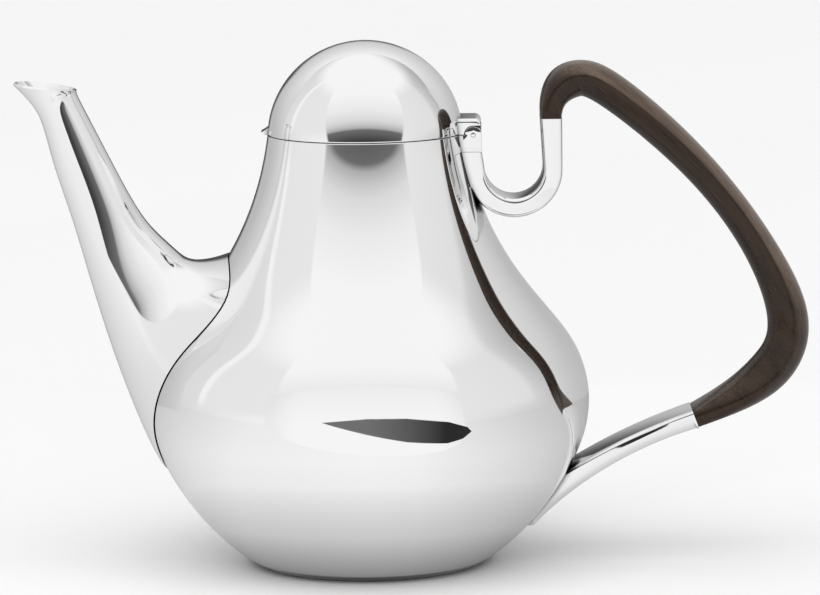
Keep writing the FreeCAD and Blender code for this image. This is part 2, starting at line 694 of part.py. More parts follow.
def make_upper_bracket():
    """The band that turns up in a U from below the hinge to the handle's upper joint."""
    body = new_body("upper_bracket_blank")
    sketch = new_sketch(body, "upper_bracket_outline")
    inner = "bend_radius"
    outer = "(bend_radius + bracket_thickness)"
    tail_x = f"({BEND_X} - {outer} * cos(bend_tail_angle))"
    tail_z = f"({BEND_Z} - {outer} * sin(bend_tail_angle))"
    outline(sketch, [(BAND_ROOT_X, SPLIT_Z), (BAND_ROOT_X, tail_z), (tail_x, tail_z),
                     (BEND_X, f"{BEND_Z} - {outer}"), (ARM_OUTER_X, BEND_Z), (ARM_OUTER_X, UPPER_JOINT_Z),
                     (f"{ARM_OUTER_X} - upper_joint_thickness", UPPER_JOINT_Z),
                     (f"{BEND_X} + {inner}", BEND_Z), (BEND_X, f"{BEND_Z} - {inner}"),
                     (f"{BEND_X} - {inner}", BEND_Z), (FACE_X, SPLIT_Z)],
            {2: (outer, 1), 3: (outer, 1), 7: (inner, -1), 8: (inner, -1)})
    band = pad(body, sketch, "upper_bracket_pad", "band_width")
    left = size("mouth_radius")

    def rounded(edge):
        level = edge.BoundBox.ZLength < TOUCH
        return side_edge(edge) and edge.BoundBox.XMax > left and not level
    round_edges(body, band, "upper_bracket_edges", "band_edge_radius", rounded)
    hole = peg_hole("upper_bracket_peg_hole", UPPER_JOINT, UPWARD * -1, "peg_in_silver")
    return cut("upper_bracket", body, body_form, hole)


def make_lower_bracket():
    """The band that tapers down along the body's lower wall from the handle's lower joint."""
    body = new_body("lower_bracket_blank")
    sketch = new_sketch(body, "lower_bracket_outline")
    tail = lower_wall_radius(size("tail_height"))
    upper = lower_wall_radius(size("tail_upper_height"))
    over = "lower_joint_thickness / 2 * sin(lower_joint_lean)"
    rise = "lower_joint_thickness / 2 * cos(lower_joint_lean)"
    low_end = (f"{LOWER_JOINT_X} + {over}", f"{LOWER_JOINT_Z} - {rise}")
    top_end = (f"{LOWER_JOINT_X} - {over}", f"{LOWER_JOINT_Z} + {rise}")
    outline(sketch, [low_end, top_end, (f"{upper} - tail_root_depth", "tail_upper_height"),
                     (f"{tail} - tail_root_depth", "tail_height"),
                     (f"{tail} + tail_thickness", "tail_height")],
            {1: ("upper_edge_curve_radius", 1), 4: ("lower_edge_curve_radius", -1)})
    band = pad(body, sketch, "lower_bracket_pad", "band_width")

    def rounded(edge):
        return side_edge(edge) and edge.Curve.TypeId == "Part::GeomCircle"
    round_edges(body, band, "lower_bracket_edges", "band_edge_radius", rounded)
    hole = peg_hole("lower_bracket_peg_hole", LOWER_JOINT, LOWER_WAY, "peg_in_silver")
    return cut("lower_bracket", body, body_form, hole)


def make_wood_handle():
    """The carved grip between the two joints, squared at its ends, with a hole for each peg."""
    frames = []

    def section(place, direction, thickness, carving):
        """Between the squared end, at carving 0, and the carved grip, at 1."""
        squared = 2 * size("band_edge_radius")
        band, grip = size("band_width"), size("grip_width")
        end_flat = (band - squared) * (1 - carving) + size("grip_flat") * carving
        side_flat = (thickness - squared) * (1 - carving) + size("grip_ridge") * carving
        width = band * (1 - carving) + grip * carving
        frames.append(oval(place, 90 - direction, thickness, width, end_flat, side_flat))

    upper, lower = ([size(formula) for formula in joint] for joint in (UPPER_JOINT, LOWER_JOINT))
    section(upper, 90, size("upper_joint_thickness"), 0)
    for stations, joint in ((HANDLE_UPPER, upper), (HANDLE_LOWER, lower)):
        for station in stations:
            across, up, turn, thickness, carving = (size(f"{station}_{field}") for field in HANDLE_FIELDS)
            section((joint[0] + across, joint[1] + up), turn, thickness, carving)
    section(lower, size("lower_joint_lean") - 180, size("lower_joint_thickness"), 0)
    grip = skin("handle_grip", frames)
    upper_hole = peg_hole("handle_upper_hole", UPPER_JOINT, UPWARD, "peg_in_wood")
    lower_hole = peg_hole("handle_lower_hole", LOWER_JOINT, LOWER_WAY * -1, "peg_in_wood")
    return cut("wood_handle", grip, upper_hole, lower_hole)


def make_peg(name, joint, into_wood):
    """A peg that starts in the silver and ends in the wood."""
    peg = rod(name, "peg_diameter / 2", "peg_in_silver + peg_in_wood", joint, into_wood)
    for axis, share, place in (("x", into_wood.x, joint[0]), ("z", into_wood.z, joint[1])):
        bind(peg, f"Placement.Base.{axis}", f"{place} - ({share}) * peg_in_silver")
    return peg


base_plate = make_base_plate()
pieces = [
    base_plate,
    make_body_shell(base_plate),
    make_mouth_ring(),
    make_spout_shell(),
    make_spout_strainer(),
    make_lid_dome(),
    make_lid_bezel(),
    make_lid_finger_tip(),
    make_lid_hinge_leaf(),
    make_hinge_block(),
    make_hinge_pin(),
    make_upper_bracket(),
    make_lower_bracket(),
    make_wood_handle(),
    make_peg("upper_handle_peg", UPPER_JOINT, UPWARD),
    make_peg("lower_handle_peg", LOWER_JOINT, LOWER_WAY * -1),
]
doc.recompute()

for item in doc.Objects:
    if "Invalid" in item.State or "Error" in item.State:
        raise ValueError(f"{item.Label} did not build: {item.State}")
for piece in pieces:
    if piece.Shape.isNull() or not piece.Shape.isValid():
        raise ValueError(f"{piece.Label} has no valid shape")

os.makedirs("parts", exist_ok=True)
for piece in pieces:
    piece.Shape.exportStep(f"parts/{piece.Label}.step")
    print(f"{piece.Label}: {len(piece.Shape.Solids)} solid, {piece.Shape.Volume:.1f} mm3")
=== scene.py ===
import bmesh
import bpy
import math
import numpy
from mathutils import Matrix, Vector


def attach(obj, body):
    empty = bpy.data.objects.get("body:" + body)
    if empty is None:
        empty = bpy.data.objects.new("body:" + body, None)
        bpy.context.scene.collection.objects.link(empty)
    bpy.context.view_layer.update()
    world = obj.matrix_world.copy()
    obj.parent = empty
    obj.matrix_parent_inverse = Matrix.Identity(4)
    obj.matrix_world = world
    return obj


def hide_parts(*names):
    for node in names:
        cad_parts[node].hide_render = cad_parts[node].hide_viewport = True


# A polished silver coffee pot with a hinged lid and a carved wooden handle.
# Sizes are in millimetres in the part's frame: the foot stands on z = 0, the spout points to -X and
# the handle to +X.

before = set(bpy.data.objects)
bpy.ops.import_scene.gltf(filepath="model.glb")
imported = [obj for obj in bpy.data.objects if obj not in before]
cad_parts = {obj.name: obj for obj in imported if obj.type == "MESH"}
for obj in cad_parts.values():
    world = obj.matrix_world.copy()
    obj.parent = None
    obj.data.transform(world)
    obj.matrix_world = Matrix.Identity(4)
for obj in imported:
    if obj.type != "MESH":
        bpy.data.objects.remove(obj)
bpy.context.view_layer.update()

MM = 0.001

# Raised pear-shaped body
WALL = 1.0
FOOT_RADIUS = 35.5
FOOT_EDGE = 6.0
LOWER_CURVE = 85.0
BELLY_RADIUS = 71.8
BELLY_HEIGHT = 52.8
BELLY_CURVE = 37.0
SHOULDER_LEAN = 39.5
NECK_CURVE = 101.0
NECK_LEAN = 7.0
MOUTH_RADIUS = 31.5
MOUTH_HEIGHT = 140.0
RIM_EDGE = 0.25
RIM_LOOP = 0.4

# Domed lid
LID_GAP = 0.15
LID_SEAT = MOUTH_HEIGHT + LID_GAP
LID_HEIGHT = 29.85
LID_LEAN = 15.0
DOME_START = 2.8
TIP_REACH = 2.0
TIP_HEIGHT = 5.2
TIP_EDGE = 0.9
TIP_CURVE = 8.0
TIP_WIDTH = 8.0
TIP_ROOT = 4.0

# Hinge, and the brackets of the same width
BAND_WIDTH = 19.0
BAND_EDGE = 1.2
BAND_SUNK = 9.0
BAND_ROOT = MOUTH_RADIUS - BAND_SUNK
PIN_OUTWARD = 3.2
PIN_X = MOUTH_RADIUS + PIN_OUTWARD
PIN_RADIUS = 0.75
PIN_PROUD = 0.06
PIN_GAP = 0.05
KNUCKLE_RADIUS = 2.75
KNUCKLE_WIDTH = 7.0
KNUCKLE_GAP = 0.25
LEAF_HEIGHT = 5.2
LEAF_CORNER = 2.0
FINE_EDGE = 0.18
FACE_X = PIN_X + KNUCKLE_RADIUS
SOLDER_DROP = 5.6
SOLDER_HEIGHT = MOUTH_HEIGHT - SOLDER_DROP
BEND_RADIUS = 9.5
BEND_THICKNESS = 6.0
BEND_OUTWARD = 0.9
BEND_X = FACE_X + BEND_OUTWARD + BEND_RADIUS
BEND_DROP = 11.4
BEND_Z = MOUTH_HEIGHT - BEND_DROP
BEND_TAIL = 25.0
ARM_OUTER = BEND_X + BEND_RADIUS + BEND_THICKNESS
ARM_HEIGHT = 16.2
UPPER_THICKNESS = 6.9
UPPER_JOINT = (ARM_OUTER - UPPER_THICKNESS / 2, BEND_Z + ARM_HEIGHT)
LOWER_REACH = 34.0
LOWER_HEIGHT = 46.4
LOWER_JOINT = (BELLY_RADIUS + LOWER_REACH, LOWER_HEIGHT)
LOWER_LEAN = 20.6
LOWER_THICKNESS = 6.2
TAIL_HEIGHT = 12.2
TAIL_THICKNESS = 1.3
TAIL_ROOT = 6.0
TAIL_UPPER = 25.0
TAIL_SQUARE = 0.2
LOWER_EDGE_CURVE = 125.0
UPPER_EDGE_CURVE = 200.0
LOWER_SOFTNESS = 2.6

# Trumpet spout, from inside the body to the lip: reach beyond the belly, height, rise of its axis,
# length and width of the section
SPOUT = [
    (-21.1, 67.8, 21.0, 77.7, 70.0),
    (-15.2, 69.3, 22.0, 67.4, 61.0),
    (-4.8, 78.4, 28.0, 45.1, 41.0),
    (1.4, 88.9, 36.0, 34.0, 31.5),
    (8.4, 103.0, 48.0, 23.7, 22.5),
    (14.9, 119.0, 60.0, 17.9, 17.2),
    (21.3, 135.2, 68.0, 14.9, 14.6),
    (25.9, 147.6, 71.0, 12.2, 13.2),
    (28.3, 152.4, 79.0, 12.9, 13.6),
    (31.3, 156.7, 97.0, 19.0, 17.5),
]

# Solder line round the spout's root, and the hole behind the spout: its radius, the rise of its axis, and
# a place on that axis by its height and its depth inside the belly
SPOUT_SEAM = 0.3
SPOUT_HOLE = 17.0
SPOUT_HOLE_RISE = 22.0
SPOUT_HOLE_HEIGHT = 69.3
SPOUT_HOLE_INSIDE = 21.1

# Carved grip between its joints: place from the nearer joint, direction, thickness, and how far the
# squared end has become the carved grip
GRIP_UPPER = [
    (0.9, 5.8, 75.0, 8.8, 0.4),
    (4.9, 10.9, 41.0, 12.5, 0.8),
    (10.3, 12.4, -3.0, 12.0, 1.0),
    (17.8, 9.2, -40.0, 11.8, 1.0),
    (46.5, -15.7, -47.0, 10.5, 1.0),
]
GRIP_LOWER = [
    (23.9, 50.4, -61.0, 11.2, 1.0),
    (30.9, 28.1, -91.0, 13.6, 1.0),
    (25.7, 15.9, -128.0, 14.0, 1.0),
    (15.2, 7.6, -151.0, 11.2, 0.7),
]

# Grip's section: its width, the flats of its outer and inner sides, and the ridge along its front and back,
# which lies nearer to the outer side
GRIP_WIDTH = 19.0
GRIP_FLAT = 8.0
GRIP_RIDGE = 1.2
RIDGE_OUTWARD = 1.8

# How finely round shapes are divided and eased, and how near counts as touching
ROUND_STEPS = 160
RUN_STEP = 1.2
FINE_STEP = 0.25
SPOUT_RINGS = 90
SPOUT_AROUND = 96
GRIP_RINGS = 110
GRIP_AROUND = 64
ROD_SIDES = 48
FINE_SEGMENTS = 3
BAND_SEGMENTS = 6
BODY_EASING = 24
SPOUT_EASING = 8
GRIP_EASING = 12
SMOOTH_ANGLE = math.radians(35)
OCTAGON_SIDE = math.tan(math.pi / 8)
NEAR = 0.01
SAME_PLACE = 0.001 * MM


def along(start, end, step=RUN_STEP):
    """Points on a straight run, without its end."""
    count = max(1, round(math.dist(start, end) / step))
    return [tuple(a + (b - a) * n / count for a, b in zip(start, end)) for n in range(count)]


def arc(centre, radius, start, end, step=RUN_STEP):
    """Points on an arc between two directions in degrees, with both ends."""
    count = max(2, round(math.radians(abs(end - start)) * radius / step))
    turns = [math.radians(start + (end - start) * n / count) for n in range(count + 1)]
    return [(centre[0] + radius * math.cos(t), centre[1] + radius * math.sin(t)) for t in turns]


def bulge(start, end, radius, side, step=RUN_STEP):
    """Points on the flat arc between two places, bulging to the right of its run for side 1."""
    half = (Vector(end) - Vector(start)) / 2
    right = Vector((half.y, -half.x)).normalized()
    drop = math.sqrt(radius ** 2 - half.length ** 2)
    centre = Vector(start) + half - right * side * drop
    first, last = Vector(start) - centre, Vector(end) - centre
    begin = math.degrees(math.atan2(first.y, first.x))
    sweep = math.degrees(math.atan2(last.y, last.x)) - begin
    return arc(centre, radius, begin, begin + (sweep + 180) % 360 - 180, step)


def eased(row, rounds):
    """The same row with its changes of curvature eased, as hammering and polishing leave it."""
    row = numpy.array(row)
    for _ in range(rounds):
        row[1:-1] = (row[:-2] + 2 * row[1:-1] + row[2:]) / 4
    return row


def inset(points, depth):
    """A run moved to the left of its direction, which is inward on a run that goes up the outside."""
    places = numpy.array(points)
    ways = numpy.gradient(places, axis=0)
    ways /= numpy.linalg.norm(ways, axis=1)[:, None]
    return [tuple(place) for place in places + depth * numpy.stack([-ways[:, 1], ways[:, 0]], axis=1)]


def pear_outside():
    """The body's outside from the foot's edge to the mouth, in tangent runs."""
    foot = Vector((FOOT_RADIUS, FOOT_EDGE))
    belly = Vector((BELLY_RADIUS - BELLY_CURVE, BELLY_HEIGHT))
    mouth = Vector((MOUTH_RADIUS, MOUTH_HEIGHT))
    apart = belly - foot
    reach = apart.length
    near, far = LOWER_CURVE - FOOT_EDGE, LOWER_CURVE - BELLY_CURVE
    ahead = (near ** 2 - far ** 2 + reach ** 2) / (2 * reach)
    way = apart / reach
    lower = foot + way * ahead + Vector((-way.y, way.x)) * math.sqrt(near ** 2 - ahead ** 2)
    shoulder, neck = math.radians(SHOULDER_LEAN), math.radians(NECK_LEAN)
    shoulder_out = Vector((math.cos(shoulder), math.sin(shoulder)))
    neck_out = Vector((math.cos(neck), math.sin(neck)))
    shoulder_level = shoulder_out.dot(belly + shoulder_out * BELLY_CURVE) + NECK_CURVE
    neck_level = neck_out.dot(mouth) + NECK_CURVE
    spread = math.sin(neck - shoulder)
    hollow = Vector(((shoulder_level * neck_out.y - neck_level * shoulder_out.y) / spread,
                     (neck_level * shoulder_out.x - shoulder_level * neck_out.x) / spread))
    foot_turn = math.degrees(math.atan2(foot.y - lower.y, foot.x - lower.x))
    belly_turn = math.degrees(math.atan2(belly.y - lower.y, belly.x - lower.x))
    points = arc(foot, FOOT_EDGE, -90, foot_turn)
    points += arc(lower, LOWER_CURVE, foot_turn, belly_turn)[1:]
    points += arc(belly, BELLY_CURVE, belly_turn, SHOULDER_LEAN)[1:-1]
    neck_run = arc(hollow, NECK_CURVE, 180 + SHOULDER_LEAN, 180 + NECK_LEAN)
    points += along(belly + shoulder_out * BELLY_CURVE, neck_run[0]) + neck_run[:-1]
    points += along(neck_run[-1], mouth) + [tuple(mouth)]
    points = [tuple(point) for point in eased(points, BODY_EASING)]
    return points[:-1] + [tuple(mouth + (Vector(points[-2]) - mouth).normalized() * RIM_LOOP), points[-1]]


def dome_outside(depth=0.0):
    """The lid's outside, or the same form inside its wall, from the rim to the crown: part of an oval."""
    start = math.radians(DOME_START)
    across = (MOUTH_RADIUS - depth / math.cos(start)) / math.cos(start)
    rise = (LID_HEIGHT - depth) / (1 - math.sin(start))
    count = round((across + rise) * (math.pi / 2 - start) / 2 / RUN_STEP)
    turns = [start + (math.pi / 2 - start) * n / count for n in range(count + 1)]
    turns.insert(1, start + RIM_LOOP / rise)
    return [(across * math.cos(t), LID_SEAT + rise * (math.sin(t) - math.sin(start))) for t in turns]


def outline_piece(name, points):
    """A closed outline in the XZ plane, drawn from a ring with one corner for each point."""
    bpy.ops.object.select_all(action="DESELECT")
    bpy.ops.mesh.primitive_circle_add(vertices=len(points), radius=MM, fill_type="NOTHING")
    piece = bpy.context.object
    piece.name = piece.data.name = name
    for vertex, (across, up) in zip(piece.data.vertices, points):
        vertex.co = (across * MM, 0, up * MM)
    return piece


def spun(name, points):
    """A piece of revolution about the pot's axis."""
    piece = outline_piece(name, points)
    bpy.ops.object.mode_set(mode="EDIT")
    bpy.ops.mesh.select_all(action="SELECT")
    bpy.ops.mesh.spin(steps=ROUND_STEPS, angle=2 * math.pi, center=(0, 0, 0), axis=(0, 0, 1))
    bpy.ops.mesh.select_all(action="SELECT")
    bpy.ops.mesh.remove_doubles(threshold=SAME_PLACE)
    bpy.ops.mesh.normals_make_consistent(inside=False)
    bpy.ops.object.mode_set(mode="OBJECT")
    return piece


def sawn(name, points, width):
    """A band sawn to an outline in the XZ plane, the same to both sides of it."""
    piece = outline_piece(name, points)
    bpy.ops.object.mode_set(mode="EDIT")
    bpy.ops.mesh.select_all(action="SELECT")
    bpy.ops.mesh.edge_face_add()
    bpy.ops.transform.translate(value=(0, -width / 2 * MM, 0))
    bpy.ops.mesh.extrude_region_move(TRANSFORM_OT_translate={"value": (0, width * MM, 0)})
    bpy.ops.mesh.select_all(action="SELECT")
    bpy.ops.mesh.normals_make_consistent(inside=False)
    bpy.ops.object.mode_set(mode="OBJECT")
    return piece


def soften_edges(piece, width, segments, wanted):
    """Bevel the edges whose two ends, in millimetres, the test picks."""
    bpy.ops.object.select_all(action="DESELECT")
    bpy.context.view_layer.objects.active = piece
    piece.select_set(True)
    bpy.ops.object.mode_set(mode="EDIT")
    bpy.ops.mesh.select_mode(type="EDGE")
    bpy.ops.mesh.select_all(action="DESELECT")
    mesh = bmesh.from_edit_mesh(piece.data)
    for edge in mesh.edges:
        edge.select_set(wanted(*(end.co / MM for end in edge.verts)))
    bmesh.update_edit_mesh(piece.data)
    bpy.ops.mesh.bevel(offset=width * MM, segments=segments, affect="EDGES", clamp_overlap=False)
    bpy.ops.mesh.select_mode(type="VERT")
    bpy.ops.object.mode_set(mode="OBJECT")


def finish_with(piece, kind, **settings):
    """Apply a modifier to a piece."""
    modifier = piece.modifiers.new(kind.title(), kind)
    for name, value in settings.items():
        setattr(modifier, name, value)
    bpy.context.view_layer.objects.active = piece
    bpy.ops.object.modifier_apply(modifier=modifier.name)


def combine(piece, tool, operation):
    """Cut a tool away from a piece or join it on. The tool is used up."""
    finish_with(piece, "BOOLEAN", object=tool, operation=operation, solver="EXACT")
    bpy.data.objects.remove(tool)


def copy_of(piece):
    """A copy of a piece with its own mesh."""
    copy = piece.copy()
    copy.data = piece.data.copy()
    bpy.context.collection.objects.link(copy)
    return copy


def rod(name, radius, length, middle, way):
    """A round rod, given its middle and its direction."""
    bpy.ops.object.select_all(action="DESELECT")
    bpy.ops.mesh.primitive_cylinder_add(vertices=ROD_SIDES, radius=radius * MM, depth=length * MM)
    piece = bpy.context.object
    piece.name = piece.data.name = name
    turn = Vector((0, 0, 1)).rotation_difference(Vector(way))
    piece.data.transform(Matrix.Translation(Vector(middle) * MM) @ turn.to_matrix().to_4x4())
    return piece


def polish(piece):
    """Smooth faces with crisp edges, and flat faces kept flat."""
    bpy.ops.object.select_all(action="DESELECT")
    bpy.context.view_layer.objects.active = piece
    piece.select_set(True)
    bpy.ops.object.shade_smooth_by_angle(angle=SMOOTH_ANGLE)


def through(values, marks, wanted):
    """Values on a smooth run through a row of stations, at the wanted marks along it.

    Either end has the slope of the cubic through its four nearest stations.
    """
    values = numpy.asarray(values, float)
    count = len(marks)
    gaps = numpy.diff(marks)
    rises = numpy.diff(values, axis=0) / gaps.reshape((-1,) + (1,) * (values.ndim - 1))
    table = numpy.zeros((count, count))
    right = numpy.zeros_like(values)
    nearest = 4
    for end, near in ((0, range(nearest)), (count - 1, range(count - nearest, count))):
        shift = numpy.array([marks[n] - marks[end] for n in near])
        powers = numpy.vander(shift, nearest, increasing=True)
        right[end] = numpy.tensordot(numpy.linalg.inv(powers)[1], values[list(near)], axes=1)
        table[end, end] = 1
    for n in range(1, count - 1):
        table[n, n - 1:n + 2] = 1 / gaps[n - 1], 2 / gaps[n - 1] + 2 / gaps[n], 1 / gaps[n]
        right[n] = 3 * (rises[n - 1] / gaps[n - 1] + rises[n] / gaps[n])
    slopes = numpy.linalg.solve(table, right.reshape(count, -1)).reshape(values.shape)
    run = []
    for mark in wanted:
        n = min(max(numpy.searchsorted(marks, mark) - 1, 0), count - 2)
        t = (mark - marks[n]) / gaps[n]
        run.append((1 + 2 * t) * (1 - t) ** 2 * values[n] + t * (1 - t) ** 2 * gaps[n] * slopes[n]
                   + t ** 2 * (3 - 2 * t) * values[n + 1] - t ** 2 * (1 - t) * gaps[n] * slopes[n + 1])
    return numpy.array(run)


def section(place, turn, length, width, end_flat, side_flat, outward=0.0):
    """The eight corners of the frame that draws a soft section: length in the XZ plane, width along Y."""
    half = [(length / 2, end_flat / 2), (side_flat / 2 - outward, width / 2),
            (-side_flat / 2 - outward, width / 2), (-length / 2, end_flat / 2)]
    corners = half + [(across, -aside) for across, aside in reversed(half)]
    seat = Matrix.Rotation(math.radians(turn), 3, "Y")
    centre = Vector((place[0], 0, place[1]))
    return [tuple(centre + seat @ Vector((across, aside, 0))) for across, aside in corners]


def lofted(name, sections, rings, around, rounds, is_round):
    """A tube whose skin runs smoothly through a row of soft sections, from a grid rolled up."""
    sections = numpy.array(sections)
    steps = numpy.linalg.norm(numpy.diff(sections.mean(axis=1), axis=0), axis=1)
    marks = numpy.concatenate([[0], numpy.cumsum(numpy.sqrt(steps))])
    frames = eased(through(sections, marks, numpy.linspace(0, marks[-1], rings)), rounds)
    if is_round:
        centre = frames.mean(axis=1)[:, None]
        turns = (numpy.arange(around) * 2 * math.pi / around)[None, :, None]
        skin = (centre + numpy.cos(turns) * ((frames[:, :1] + frames[:, -1:]) / 2 - centre)
                + numpy.sin(turns) * ((frames[:, 1:2] + frames[:, 2:3]) / 2 - centre))
    else:
        corners = frames.shape[1]
        before, after = numpy.roll(frames, 1, axis=1), numpy.roll(frames, -1, axis=1)
        t = (numpy.arange(around // corners) * corners / around)[None, None, :, None]
        skin = (0.5 * (1 - t) ** 2 * before[:, :, None] + (0.5 + t - t ** 2) * frames[:, :, None]
                + 0.5 * t ** 2 * after[:, :, None]).reshape(rings, around, 3)
    skin = numpy.concatenate([skin, skin[:, :1]], axis=1).reshape(-1, 3)
    bpy.ops.object.select_all(action="DESELECT")
    bpy.ops.mesh.primitive_grid_add(x_subdivisions=around, y_subdivisions=rings - 1, size=MM)
    piece = bpy.context.object
    piece.name = piece.data.name = name
    for vertex, place in zip(piece.data.vertices, skin):
        vertex.co = Vector(place) * MM
    bpy.ops.object.mode_set(mode="EDIT")
    bpy.ops.mesh.select_all(action="SELECT")
    bpy.ops.mesh.remove_doubles(threshold=SAME_PLACE)
    bpy.ops.mesh.normals_make_consistent(inside=False)
    bpy.ops.object.mode_set(mode="OBJECT")
    return piece


def close_ends(piece):
    """Fill the open ends of a tube."""
    bpy.ops.object.mode_set(mode="EDIT")
    bpy.ops.mesh.select_mode(type="EDGE")
    bpy.ops.mesh.select_all(action="DESELECT")
    bpy.ops.mesh.select_non_manifold()
    bpy.ops.mesh.edge_face_add()
    bpy.ops.mesh.select_all(action="SELECT")
    bpy.ops.mesh.normals_make_consistent(inside=False)
    bpy.ops.mesh.select_mode(type="VERT")
    bpy.ops.object.mode_set(mode="OBJECT")


def on_side(start, end):
    """Whether an edge lies on the front or back face of a band."""
    half = BAND_WIDTH / 2 - NEAR
    return min(abs(start.y), abs(end.y)) > half and start.y * end.y > 0


# Body and lid: solid forms, which also trim what is soldered to them, and the hollow pieces
pear = pear_outside()
body_form = spun("body_form", [(0, 0)] + pear + [(0, MOUTH_HEIGHT)])
inner_pear = inset(pear, WALL)
inner_pear[0] = (FOOT_RADIUS, WALL)
inner_pear[-1] = (MOUTH_RADIUS - WALL / math.cos(math.radians(NECK_LEAN)), MOUTH_HEIGHT)
pot_wall = spun("pot_wall", pear + inner_pear[::-1])
soften_edges(pot_wall, RIM_EDGE, FINE_SEGMENTS, lambda a, b: min(a.z, b.z) > MOUTH_HEIGHT - NEAR
             and min(a.xy.length, b.xy.length) > MOUTH_RADIUS - NEAR)
hole_rise = math.radians(SPOUT_HOLE_RISE)
hole_way = (-math.cos(hole_rise), 0, math.sin(hole_rise))
hole_middle = (-BELLY_RADIUS, 0, SPOUT_HOLE_HEIGHT + SPOUT_HOLE_INSIDE * math.tan(hole_rise))
combine(pot_wall, rod("spout_hole", SPOUT_HOLE, BELLY_RADIUS, hole_middle, hole_way), "DIFFERENCE")

dome = dome_outside()
lid_form = spun("lid_form", [(0, LID_SEAT)] + dome)
lid_shell = spun("lid_shell", dome + dome_outside(WALL)[::-1])
soften_edges(lid_shell, RIM_EDGE, FINE_SEGMENTS, lambda a, b: max(a.z, b.z) < LID_SEAT + NEAR
             and min(a.xy.length, b.xy.length) > MOUTH_RADIUS - NEAR)

# Spout: a skin through its stations, a wall inside it, and a root trimmed to the body
spout_sections = [section((-BELLY_RADIUS - reach, height), rise - 90, length, width,
                          width * OCTAGON_SIDE, length * OCTAGON_SIDE)
                  for reach, height, rise, length, width in SPOUT]
spout = lofted("spout_trumpet", spout_sections, SPOUT_RINGS, SPOUT_AROUND, SPOUT_EASING, True)
finish_with(spout, "SOLIDIFY", thickness=WALL * MM, offset=-1)
seam = [(0, -SPOUT_SEAM)] + inset(pear, -SPOUT_SEAM) + [(0, MOUTH_HEIGHT)]
combine(spout, spun("spout_seam", seam), "DIFFERENCE")

# Lid's finger tip
tip_on_dome = -(MOUTH_RADIUS - TIP_HEIGHT * math.tan(math.radians(LID_LEAN)) - TIP_EDGE)
tip_end = (-(MOUTH_RADIUS + TIP_REACH), LID_SEAT + TIP_EDGE)
tip_root = -(MOUTH_RADIUS - TIP_ROOT)
finger_tip = sawn("finger_tip", [(tip_root, LID_SEAT), (tip_root, LID_SEAT + TIP_HEIGHT)]
                  + bulge((tip_on_dome, LID_SEAT + TIP_HEIGHT), tip_end, TIP_CURVE, -1, FINE_STEP)
                  + [(-(MOUTH_RADIUS + TIP_EDGE), LID_SEAT)], TIP_WIDTH)
combine(finger_tip, copy_of(lid_form), "DIFFERENCE")

# Hinge: the lid's leaf with its middle knuckle, the cheeks below it, and the pin
slot_radius = KNUCKLE_RADIUS + KNUCKLE_GAP
pin = (PIN_X, MOUTH_HEIGHT)
leaf_top = MOUTH_HEIGHT + LEAF_HEIGHT
recess = math.degrees(math.asin(LID_GAP / slot_radius))
hinge_leaf = sawn("hinge_leaf", [(BAND_ROOT, LID_SEAT)]
                  + arc(pin, slot_radius, 180 - recess, 90, FINE_STEP)
                  + [(FACE_X, MOUTH_HEIGHT + slot_radius)]
                  + arc((FACE_X - LEAF_CORNER, leaf_top - LEAF_CORNER), LEAF_CORNER, 0, 90, FINE_STEP)
                  + [(BAND_ROOT, leaf_top)], BAND_WIDTH)
soften_edges(hinge_leaf, BAND_EDGE, BAND_SEGMENTS, lambda a, b: on_side(a, b) and max(a.x, b.x) > PIN_X
             and max(a.z, b.z) > MOUTH_HEIGHT + slot_radius + NEAR)
knuckle = sawn("knuckle", arc(pin, KNUCKLE_RADIUS, 180, 360, FINE_STEP)
               + [(PIN_X + KNUCKLE_RADIUS, MOUTH_HEIGHT + slot_radius), (PIN_X, leaf_top - LEAF_CORNER),
                  (PIN_X - KNUCKLE_RADIUS, MOUTH_HEIGHT + slot_radius)], KNUCKLE_WIDTH)
combine(hinge_leaf, knuckle, "UNION")
combine(hinge_leaf, copy_of(lid_form), "DIFFERENCE")

cheeks = sawn("hinge_cheeks", [(BAND_ROOT, SOLDER_HEIGHT), (FACE_X, SOLDER_HEIGHT)]
              + arc(pin, KNUCKLE_RADIUS, 0, 180, FINE_STEP) + [(BAND_ROOT, MOUTH_HEIGHT)], BAND_WIDTH)
soften_edges(cheeks, FINE_EDGE, FINE_SEGMENTS, on_side)
slot_top = MOUTH_HEIGHT + 2 * KNUCKLE_RADIUS
slot = sawn("knuckle_slot", arc(pin, slot_radius, 180, 270, FINE_STEP)
            + [(FACE_X + WALL, MOUTH_HEIGHT - slot_radius), (FACE_X + WALL, slot_top),
               (PIN_X - slot_radius, slot_top)], KNUCKLE_WIDTH + 2 * KNUCKLE_GAP)
combine(cheeks, slot, "DIFFERENCE")
pin_middle = (PIN_X, 0, MOUTH_HEIGHT)
pin_bore = rod("pin_bore", PIN_RADIUS + PIN_GAP, 2 * BAND_WIDTH, pin_middle, (0, 1, 0))
combine(cheeks, pin_bore, "DIFFERENCE")
combine(cheeks, copy_of(body_form), "DIFFERENCE")
hinge_pin = rod("pin", PIN_RADIUS, BAND_WIDTH + 2 * PIN_PROUD, pin_middle, (0, 1, 0))
soften_edges(hinge_pin, FINE_EDGE, FINE_SEGMENTS, on_side)

